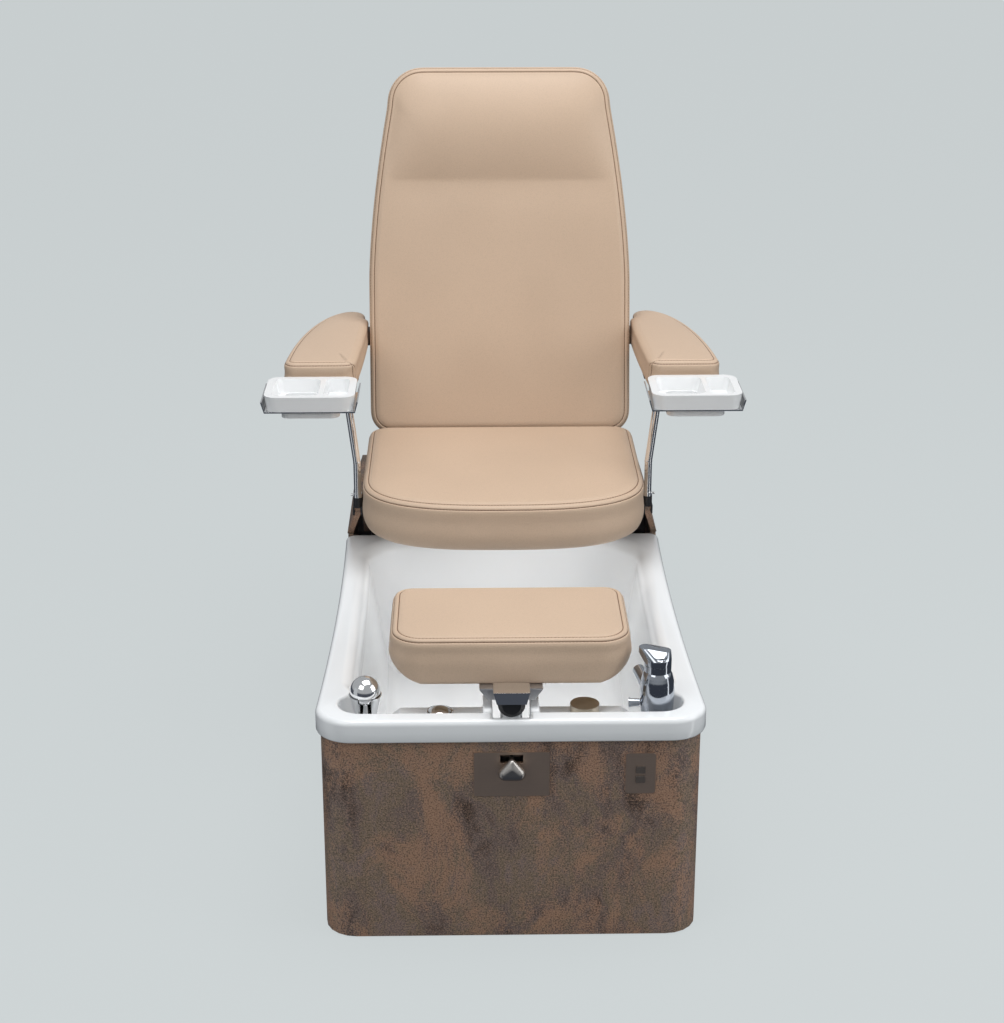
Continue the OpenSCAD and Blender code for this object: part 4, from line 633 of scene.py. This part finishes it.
class BENCH_OT_back(bpy.types.Operator):
    """Back cushion with its narrower head"""

    bl_idname = "bench.back"
    bl_label = "Back cushion"

    def execute(self, context):
        """The half width is 300 mm, less 46 ((z - 330) / 400)^1.6 above a height z of 330 mm."""
        looks = looks_of(context)
        z = np.linspace(32, 735, 80)
        right = np.stack([300 - 46 * np.clip((z - 330) / 400, 0, 1) ** 1.6, z], -1)
        line = np.vstack([arc(-250, 32, 50, 180), arc(250, 32, 50, 270), right,
                          arc(174, 735, 80, 0), arc(-174, 735, 80, 90), right[::-1] * [-1, 1]])
        cushion("back_cushion_sewn", even(line, looks.round_steps, 9.0), cushion_steps(82, 6, 9, 2, 8),
                (4.0, 3.0 + looks.seam_gap_mm), 6.0, back_to_space, "back", looks, ["back_cushion"],
                under=0.5, rows=60, relief=head_roll)
        return {"FINISHED"}


class BENCH_OT_armrests(bpy.types.Operator):
    """Wing-shaped armrest pads, left and right"""

    bl_idname = "bench.armrests"
    bl_label = "Armrest pads"

    def execute(self, context):
        """The outer side is a quarter ellipse, set back by hinge_gap behind the hinge's notch, and the
        front is shifted outwards by skew (1 - v)^2 along the pad. The points crowd round the inner front
        corner, where the two seams run over the edge and down the inner side: they fall by
        u^2 / 18 + 4 (u - 12) at the distance u past their turn, which ends run_up behind the front."""
        looks = looks_of(context)
        inner, front, rear, width, notch = 302.0, 905.7, 1345.7, 157.0, 1287.7
        r, rear_r, hinge_gap, skew, run_up = 28.0, 30.0, 10, 15, 60
        length = rear - front
        t = np.linspace(0, math.pi / 2, 60)
        outer = np.stack([inner + hinge_gap + rear_r + (width - hinge_gap - rear_r) * np.cos(t),
                          front + 2 * r + (length - 2 * r) * np.sin(t)], -1)
        hinge = [[inner + hinge_gap, notch + 4], [inner + hinge_gap - 1, notch], [inner, notch - 12]]
        line = np.vstack([arc(inner + r, front + r, r, 180), arc(inner + width - r, front + r, r, 270), outer,
                          arc(inner + hinge_gap + rear_r, rear - rear_r, rear_r, 90), hinge])
        line = even(line, 4000, 3.0)
        line[:, 0] += skew * (np.maximum(rear - line[:, 1], 0) / length) ** 2
        corner = np.array([inner + skew + r * 0.3, front + r * 0.3])
        near = np.exp(-((np.linalg.norm(line - corner, axis=1) / 34) ** 2))
        share = np.cumsum(1 + 3.2 * near)
        wanted = np.linspace(0, share[-1], looks.round_steps, endpoint=False)
        line = line[np.interp(wanted, share, np.arange(len(line))).astype(int)]
        x, y = line[:, 0], line[:, 1]
        inward = (y - front) - 0.75 * (x - inner - skew)
        falls = []
        for turn in (6.0, -7.0):
            u = np.where((x < inner + run_up) & (y < notch), inward - turn, 0.0)
            u = np.where((x < inner + 40) & (y > front + run_up), float(run_up), u)
            u = np.maximum(u, 0)
            falls.append(np.minimum(u**2 / 18 + np.maximum(u - 12, 0) * 4, 120.0))
        for side, name in ((-1, "left"), (1, "right")):
            flip = np.array([side, 1, 1])
            cushion(f"armrest_pad_{name}_sewn", line, cushion_steps(66, 8, 7, 1.5, 4),
                    (3.0, 3.0 + looks.seam_gap_mm), 3.5, lambda points: raised(790.0)(points * flip),
                    f"armrest_{name}", looks, [f"armrest_pad_{name}"], fall=np.array(falls))
        return {"FINISHED"}


class BENCH_OT_footrest_pad(bpy.types.Operator):
    """Rounded pad of the footrest"""

    bl_idname = "bench.footrest_pad"
    bl_label = "Footrest pad"

    def execute(self, context):
        """The side profile also gives an inset along y, since the pad rounds less to front and rear."""
        looks = looks_of(context)
        half, front, rear, r, rear_r = 225.0, 62.0, 324.0, 62.0, 42.0
        line = np.vstack([arc(r - half, front + r, r, 180), arc(half - r, front + r, r, 270),
                          arc(half - rear_r, rear - rear_r, rear_r, 0),
                          arc(rear_r - half, rear - rear_r, rear_r, 90)])
        steps = [[44, 0, 6], [24, 6, 2], [9, 20, 0.6], [0.5, 42, 0], [2.5, 62, 2.5], [4, 76, 3], [10, 85, 9],
                 [24, 89, 22]]
        cushion("footrest_pad_sewn", even(line, looks.round_steps, 5.0), steps,
                (7.0, 7.0 + looks.seam_gap_mm), 4.0, raised(493.0), "footrest", looks, ["footrest_pad"])
        return {"FINISHED"}


# ---------------------------------------------------------------- tub


def plan(h0, h1, waist, y0, y1, r0, r1):
    """Plan of the tub: half widths h0 and h1, sides that draw in by 4 w t (1 - t), and round corners."""
    t = np.linspace(0, 1, 60)[1:-1]
    run = np.stack([h0 + (h1 - h0) * t - waist * 4 * t * (1 - t), y0 + r0 + (y1 - r1 - y0 - r0) * t], -1)
    return np.vstack([arc(r0 - h0, y0 + r0, r0, 180), arc(h0 - r0, y0 + r0, r0, 270), run,
                      arc(h1 - r1, y1 - r1, r1, 0), arc(r1 - h1, y1 - r1, r1, 90), run[::-1] * [-1, 1]])


def crossing(origin, way, line):
    """Where each ray from origin along way last leaves a closed line, and the line's normal there. With
    e along an edge and d from the origin to its start, the ray's length is t = (d x e) / (way x e) and
    the share of the edge u = (d x way) / (way x e)."""
    a, b = line, np.roll(line, -1, axis=0)
    e = (b - a)[None]
    d = a[None] - origin[:, None]
    den = way[:, None, 0] * e[..., 1] - way[:, None, 1] * e[..., 0]
    den = np.where(abs(den) < 1e-12, 1e-12, den)
    t = (d[..., 0] * e[..., 1] - d[..., 1] * e[..., 0]) / den
    u = (d[..., 0] * way[:, None, 1] - d[..., 1] * way[:, None, 0]) / den
    t = np.where((u >= -1e-9) & (u <= 1 + 1e-9) & (t > 0), t, -1.0)
    return origin + way * t.max(1)[:, None], outward(line)[t.argmax(1)]


def tub_plans():
    """Plans of the tub's lip, of its mouth with a round pocket at each front corner, and of the basin."""
    lip = even(plan(358.5, 346.5, 8, -8.5, 928, 68.5, 20), 900, 3.0)
    mouth = plan(290, 290, 4, 28, 884, 38, 90)
    rear = mouth[mouth[:, 1] > 108]
    start = np.argmax(rear[:, 0] > 0)
    pockets = [arc(-273, 72, 44, 150, 120), arc(273, 72, 44, 270, 120)]
    mouth = even(np.vstack([*pockets, rear[start:], rear[:start]]), 1200, 2.5)
    return lip, mouth, even(plan(290, 290, 4, 106, 884, 90, 90), 1200, 2.0)


def tub_rings():
    """The tub's skin as rings of its plans at rising and falling heights: from below the basin up the
    outside, over the lip and the rim, down the walls and across the deck, and into the basin."""
    rim, deck, floor_z, slope = 455.0, 405.0, 172.0, 35.0
    lip, mouth, basin = tub_plans()
    lip_normal = outward(lip)
    origin = np.stack([np.clip(lip[:, 0], -120, 120), np.clip(lip[:, 1], 300, 760)], -1)
    way = lip - origin
    way /= np.linalg.norm(way, axis=1)[:, None]
    n = len(lip)

    def ring(line, d, z):
        """Where the rays to the lip cross a plan, moved out by d, at the height z."""
        at, normal = crossing(origin, way, line)
        return np.c_[at + normal * np.reshape(d, (-1, 1)), np.broadcast_to(np.reshape(z, (-1, 1)), (n, 1))]

    def lip_ring(d, z):
        """The lip's plan moved in by d, at the height z."""
        return np.c_[lip - lip_normal * d, np.full(n, float(z))]

    def draw_in(z):
        """How far the walls stand in at the height z: 35 mm over 223 mm of depth."""
        return slope * (425 - z) / 223.0

    def wall(line, z):
        """A ring of the sloping walls, drawn in with depth."""
        return ring(line, -draw_in(z), z)

    quarter = np.linspace(0, math.pi / 2, 12)
    inside = [lip_ring(d, z) for d, z in [(6, 447), (6, 414), (4.6, 411.6), (3, 411), (1.2, 411.8), (0, 414.5),
                                          (0, 430), (0, 444)]]
    inside += [lip_ring(11 * (1 - math.cos(a)), 444 + 11 * math.sin(a))
               for a in np.linspace(0, math.pi / 2, 8)[1:]]
    fillet = 5 + 25 * eased(crossing(origin, way, mouth)[0][:, 1], 100, 160)
    inside += [ring(mouth, fillet * (1 - math.sin(a)), rim - fillet * (1 - math.cos(a))) for a in quarter]
    inside += [wall(mouth, 420), wall(mouth, 414.6)]

    # the deck, from the mouth's wall to the basin's edge; where the two meet, the wall goes straight down
    at_mouth, at_basin = [ring(line, -draw_in(deck), 0)[:, :2] for line in (mouth, basin)]
    w = eased(np.linalg.norm(at_mouth - at_basin, axis=1), 2.5, 22.5)[:, None]
    for share, z_wall, z in [(0.0, 409.5, 409), (0.04, 408, 406.6), (0.1, 407, 405.5), (0.5, 405.5, 405),
                             (0.9, 404, 404.9), (0.97, 403, 404.0), (1.0, 401.5, 402.0)]:
        a, b = ring(mouth, -draw_in(deck), z), ring(basin, -draw_in(deck), z)
        inside.append(wall(basin, z_wall) * (1 - w) + (a * (1 - share) + b * share) * w)

    # the basin's walls, a quarter round at their foot, and the floor
    inside += [wall(basin, z) for z in (398, 385, 360, 320, 280, 240, 210)]
    inside += [ring(basin, -draw_in(204) - 34 * (1 - math.cos(a)) - 2 * math.sin(a), 204 - 32 * math.sin(a))
               for a in np.linspace(0, math.pi / 2, 9)]
    low = inside[-1]
    flat = np.c_[blurred(low[:, :2], 0.006), low[:, 2]]
    inside += [flat * (1 - u) + np.array([0.0, 500.0, floor_z]) * u for u in (0.02, 0.3, 0.6, 0.85)]

    outside = [ring(mouth, 34, 447), ring(mouth, 8, 430), ring(mouth, 6 - draw_in(405), 402)]
    outside += [ring(basin, 6 - draw_in(z), z - 3) for z in (400, 300, 210)]
    outside += [ring(basin, -draw_in(204) - 12, 180), ring(basin, -draw_in(204) - 34, 166)]
    return np.stack([*outside[::-1], *inside])


class BENCH_OT_tub(bpy.types.Operator):
    """Moulded tub: lip, rim, deck with two ledges, and basin, as one skin"""

    bl_idname = "bench.tub"
    bl_label = "Tub"

    def execute(self, context):
        """The footrest's notch is pressed into the rim, down to 443 mm between the ledges' cheeks."""
        rings = tub_rings()
        x, y, z = rings[..., 0], rings[..., 1], rings[..., 2]
        notch = (abs(x) < 34.5) & (y > 2) & (y < 30) & (z > 440)
        rings[..., 2] = np.where(notch, np.minimum(z, 443), z)
        parts = [loft(rings), ledge(-1), ledge(1)]
        obj = mesh_object("tub_skin", *joined(parts), FINISH["shell_white"], "bench")
        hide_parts("tub_shell")
        return {"FINISHED"}


def ledge(side):
    """A ledge with its cheek by the notch: a rounded profile in X and Z carried back along Y,
    drawn in over its last 10 mm as a quarter round. Its rear follows the basin's sloping wall."""
    foot, mouth_z, wall_slope = 398, 425, 0.157
    corners = np.array([[34, foot], [34, 455], [52, 455], [52, 430], [205, 430], [236, 404], [236, foot]],
                       float)
    line = even(even(corners[::-1], 420), 420, 2.6)
    normal = outward(line)
    rows = []
    ends = [(98 + 9 * math.sin(a), 9 * (1 - math.cos(a)), 0) for a in np.linspace(0, math.pi / 2, 8)]
    for y, d, shut in [(26, 0, 1), (26, 0, 0), (60, 0, 0), (88, 0, 0), *ends, (107, 9, 0.5), (107, 9, 1)]:
        q = line - normal * d
        z = np.maximum(q[:, 1], foot) * (1 - shut) + foot * shut
        back = y + (wall_slope * (mouth_z - np.minimum(z, mouth_z)) if y > 90 else 0 * z)
        rows.append(np.stack([side * q[:, 0], back, z], -1))
    return loft(np.stack(rows))


# ---------------------------------------------------------------- carried-over solids

SOLIDS = {  # finish: the solids that have it, each with the width of its softened edges in millimetres
    "frame_paint": {"base_frame": 1.0, "seat_carriage": 1.0, "back_frame": 1.0, "armrest_bracket_left": 0.8,
                    "armrest_bracket_right": 0.8},
    "steel": {"levelling_feet": 0.6, "rear_cover": 0.5, "cover_screws": 0.3, "footrest_guide": 0.6,
              "footrest_bracket": 1.0, "seat_rails": 0.6},
    "stone_laminate": {"cabinet_skirt": 0.8, "rear_cabinet": 0.8, "pedestal_sides": 0.6},
    "dark_laminate": {"pedestal_boards": 0.6},
    "board": {"footrest_board": 1.0, "pedestal_top": 0.8, "seat_pan": 1.0},
    "chrome": {"hand_shower": 1.0, "drain_flange": 0.8, "drain_plug": 0.8, "jet_nozzles": 0.8,
               "shower_holder": 0.8, "jet_button_ring": 0.0, "jet_button": 0.0, "gas_spring_rod": 0.3,
               "footrest_column": 1.2, "tray_arm_left": 0.6, "tray_arm_right": 0.6},
    # the mixer's parts and the diverter knob get chrome darkened as painted shade of their reflections
    "dark_chrome": {"mixer_body": 1.2, "mixer_hub": 1.0, "mixer_lever": 2.0, "diverter_knob": 0.8},
    "satin_nickel": {"drain_knob": 1.0},
    "pewter": {"release_lever": 0.8},
    "bronze_plate": {"lever_plate": 0.8, "switch_plate": 0.8},
    "button_grey": {"switch_button_upper": 0.8, "switch_button_lower": 0.8},
    "black_plastic": {"drain_cable": 0.0, "jet_pump": 1.0, "cable_gland": 0.4, "gas_spring": 0.8,
                      "footrest_clamp_knob": 1.0, "release_cable": 0.0, "tray_sockets": 0.6},
    "grey_hose": {"pump_hoses": 0.0},
    "pipe_plastic": {"waste_trap": 0.6, "hose_guide": 0.4},
    "brass": {"inlet_tails": 0.5},
    "braid": {"water_hoses": 0.0, "shower_hose": 0.0},
    "tray_white": {"tray_left": 3.0, "tray_right": 3.0},
}


class BENCH_OT_solids(bpy.types.Operator):
    """Finishes and softened edges for the solids that show as they are"""

    bl_idname = "bench.solids"
    bl_label = "Solids"

    def execute(self, context):
        for finish, nodes in SOLIDS.items():
            for name, width in nodes.items():
                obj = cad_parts.get(name)
                if obj is None:
                    raise RuntimeError(f"no solid named {name}")
                obj.data.materials.clear()
                obj.data.materials.append(FINISH[finish])
                obj.data.polygons.foreach_set("use_smooth", np.ones(len(obj.data.polygons), bool))
                weld = obj.modifiers.new("weld", "WELD")
                weld.merge_threshold = 0.00002
                if width:
                    bevel = obj.modifiers.new("edges", "BEVEL")
                    bevel.width = width / 1000
                    bevel.segments = 2
                    bevel.limit_method = "ANGLE"
                    bevel.angle_limit = math.radians(35)
                obj.modifiers.new("shading", "WEIGHTED_NORMAL").keep_sharp = True
        return {"FINISHED"}


# ---------------------------------------------------------------- stage


# Places and sizes of the stage are in metres in the frame.
LAMPS = {  # place, aim and size
    "top": ((0.3, -0.5, 4.6), (0, 0.1, 0.6), (3.2, 2.6)),
    "key": ((-1.8, -2.6, 3.0), (0, 0, 0.6), (2.2, 1.8)),
    "fill": ((2.8, -1.4, 1.9), (0, 0, 0.6), (1.8, 2.2)),
    "basin": ((0, -0.07, 0.505), (0, 0.17, 0.34), (0.4, 0.03)),
}
CARDS = {  # place, aim, size and colour
    "pale card left": ((-2.4, -1.2, -0.2), (0, -0.5, 0.3), (1.4, 3.4), (0.5, 0.52, 0.54)),
    "bright card right": ((2.4, -1.3, -0.2), (0, -0.5, 0.3), (0.35, 3.4), (1.6, 1.6, 1.6)),
}
FLOOR_SIZE = (80, 80)
FLOOR_GLOW = 1.2  # strength of the floor's own light, where the camera sees it
FLOOR_SEEN = 0.75  # share of that light; the rest is matt and takes the shadow
FLOOR_MATT = 0.45  # the matt part's colour, as a share of the backdrop's
WORLD_LIGHT = 0.52
WORLD_RAMP = ((0.47, (0.13, 0.145, 0.18)), (0.53, (0.80, 0.82, 0.84)))  # from below to above
CAMERA_AT = Vector((-0.079, FRONT - 3.318, 2.102))
CAMERA_DOWN, CAMERA_ACROSS = math.radians(20.6), math.radians(1.06)
SENSOR = 36.0  # width in millimetres


def aimed(obj, at, way):
    """The object at a place, with its -Z along way and its Y up."""
    obj.matrix_world = Matrix.Translation(at) @ way.to_track_quat("-Z", "Y").to_matrix().to_4x4()
    bpy.context.scene.collection.objects.link(obj)


def sheet_object(name, size, at, way, finish):
    """A flat rectangle of the stage."""
    mesh = bpy.data.meshes.new(name)
    w, h = size[0] / 2, size[1] / 2
    mesh.from_pydata([(-w, -h, 0), (w, -h, 0), (w, h, 0), (-w, h, 0)], [], [(0, 1, 2, 3)])
    mesh.materials.append(finish)
    obj = bpy.data.objects.new(name, mesh)
    aimed(obj, at, way)
    return obj


def card(name, at, aim, size, colour):
    """A flat dark or pale card that only reflections see."""
    s = Sheet(name)
    s.show(s.add("ShaderNodeEmission", Color=(*colour, 1.0), Strength=1.0))
    obj = sheet_object(name, size, at, Vector(aim) - Vector(at), s.finish)
    obj.visible_camera = False
    obj.visible_diffuse = False
    obj.visible_shadow = False


def lamp(name, at, aim, size, watts):
    """A soft rectangular lamp that isn't seen itself; the basin's doesn't show in reflections either."""
    light = bpy.data.lights.new(name, "AREA")
    light.shape = "RECTANGLE"
    light.size, light.size_y = size
    light.energy = watts
    obj = bpy.data.objects.new(name, light)
    aimed(obj, at, Vector(aim) - Vector(at))
    obj.visible_camera = False
    obj.visible_glossy = name != "basin"


def floor_finish(backdrop):
    """A pale floor: its own light makes it run into the backdrop, and its matt part keeps the shadow."""
    s = Sheet("floor")
    seen = s.add("ShaderNodeLightPath", out="Is Camera Ray") * FLOOR_SEEN
    pale = s.add("ShaderNodeEmission", Color=(*backdrop, 1.0), Strength=FLOOR_GLOW)
    matt = s.add("ShaderNodeBsdfDiffuse", Color=(*toned(backdrop, FLOOR_MATT), 1.0))
    s.show(s.add("ShaderNodeMixShader", i0=seen, i1=matt, i2=pale))
    return s.finish


def light_world(backdrop):
    """The camera and clear pieces see the backdrop; everything else is lit by a ramp up the sky."""
    s = Sheet("studio", bpy.data.worlds.new("studio"), "Generated")
    height = s.add("ShaderNodeMapRange", i0=s.add("ShaderNodeSeparateXYZ", out=2, i0=s.place), i1=-1.0)
    lit = s.add("ShaderNodeBackground", i0=s.ramp(height, *WORLD_RAMP), i1=WORLD_LIGHT)
    seen = s.add("ShaderNodeBackground", i0=(*backdrop, 1.0))
    camera = s.add("ShaderNodeLightPath", out="Is Camera Ray")
    either = camera.math("MAXIMUM", camera, s.add("ShaderNodeLightPath", out="Is Transmission Ray"))
    s.show(s.add("ShaderNodeMixShader", i0=either, i1=lit, i2=seen), "ShaderNodeOutputWorld")
    return s.finish


class BENCH_OT_stage(bpy.types.Operator):
    """Floor, backdrop, lamps and camera"""

    bl_idname = "bench.stage"
    bl_label = "Stage"

    def execute(self, context):
        looks = looks_of(context)
        scene = context.scene
        scene.view_settings.view_transform = "Standard"
        floor = sheet_object("floor", FLOOR_SIZE, (0, 0, 0), Vector((0, 0, -1)), floor_finish(looks.backdrop))
        floor.visible_glossy = False
        scene.world = light_world(looks.backdrop)
        for name, (at, aim, size) in LAMPS.items():
            lamp(name, at, aim, size, getattr(looks, name + "_watts"))
        for name, (at, aim, size, colour) in CARDS.items():
            card(name, at, aim, size, colour)
        camera = bpy.data.objects.new("camera", bpy.data.cameras.new("camera"))
        camera.data.lens = looks.lens
        camera.data.sensor_width = SENSOR
        level = math.cos(CAMERA_DOWN)
        aimed(camera, CAMERA_AT, Vector((math.sin(CAMERA_ACROSS) * level, math.cos(CAMERA_ACROSS) * level,
                                         -math.sin(CAMERA_DOWN))))
        scene.camera = camera
        return {"FINISHED"}


# ---------------------------------------------------------------- panel and registration

STEPS = (BENCH_OT_stage, BENCH_OT_solids, BENCH_OT_tub, BENCH_OT_seat, BENCH_OT_back, BENCH_OT_armrests,
         BENCH_OT_footrest_pad)


class BENCH_PT_panel(bpy.types.Panel):
    """Settings and steps of the pedicure bench"""

    bl_label = "Pedicure bench"
    bl_space_type = "VIEW_3D"
    bl_region_type = "UI"
    bl_category = "Bench"

    def draw(self, context):
        looks = looks_of(context)
        for key in looks.bl_rna.properties.keys():
            if key not in ("rna_type", "name"):
                self.layout.prop(looks, key)
        for step in STEPS:
            self.layout.operator(step.bl_idname)


CLASSES = (BenchLooks, *STEPS, BENCH_PT_panel)


def register():
    """Adds the classes and the settings to Blender."""
    for cls in CLASSES:
        bpy.utils.register_class(cls)
    bpy.types.Scene.pedicure_bench = PointerProperty(type=BenchLooks)


def unregister():
    """Takes them out again."""
    del bpy.types.Scene.pedicure_bench
    for cls in reversed(CLASSES):
        bpy.utils.unregister_class(cls)


def main():
    """Builds the object step by step."""
    register()
    FINISH.update(make_finishes(looks_of(bpy.context)))
    for step in STEPS:
        group, name = step.bl_idname.split(".")
        getattr(getattr(bpy.ops, group), name)()


if __name__ == "__main__":
    main()
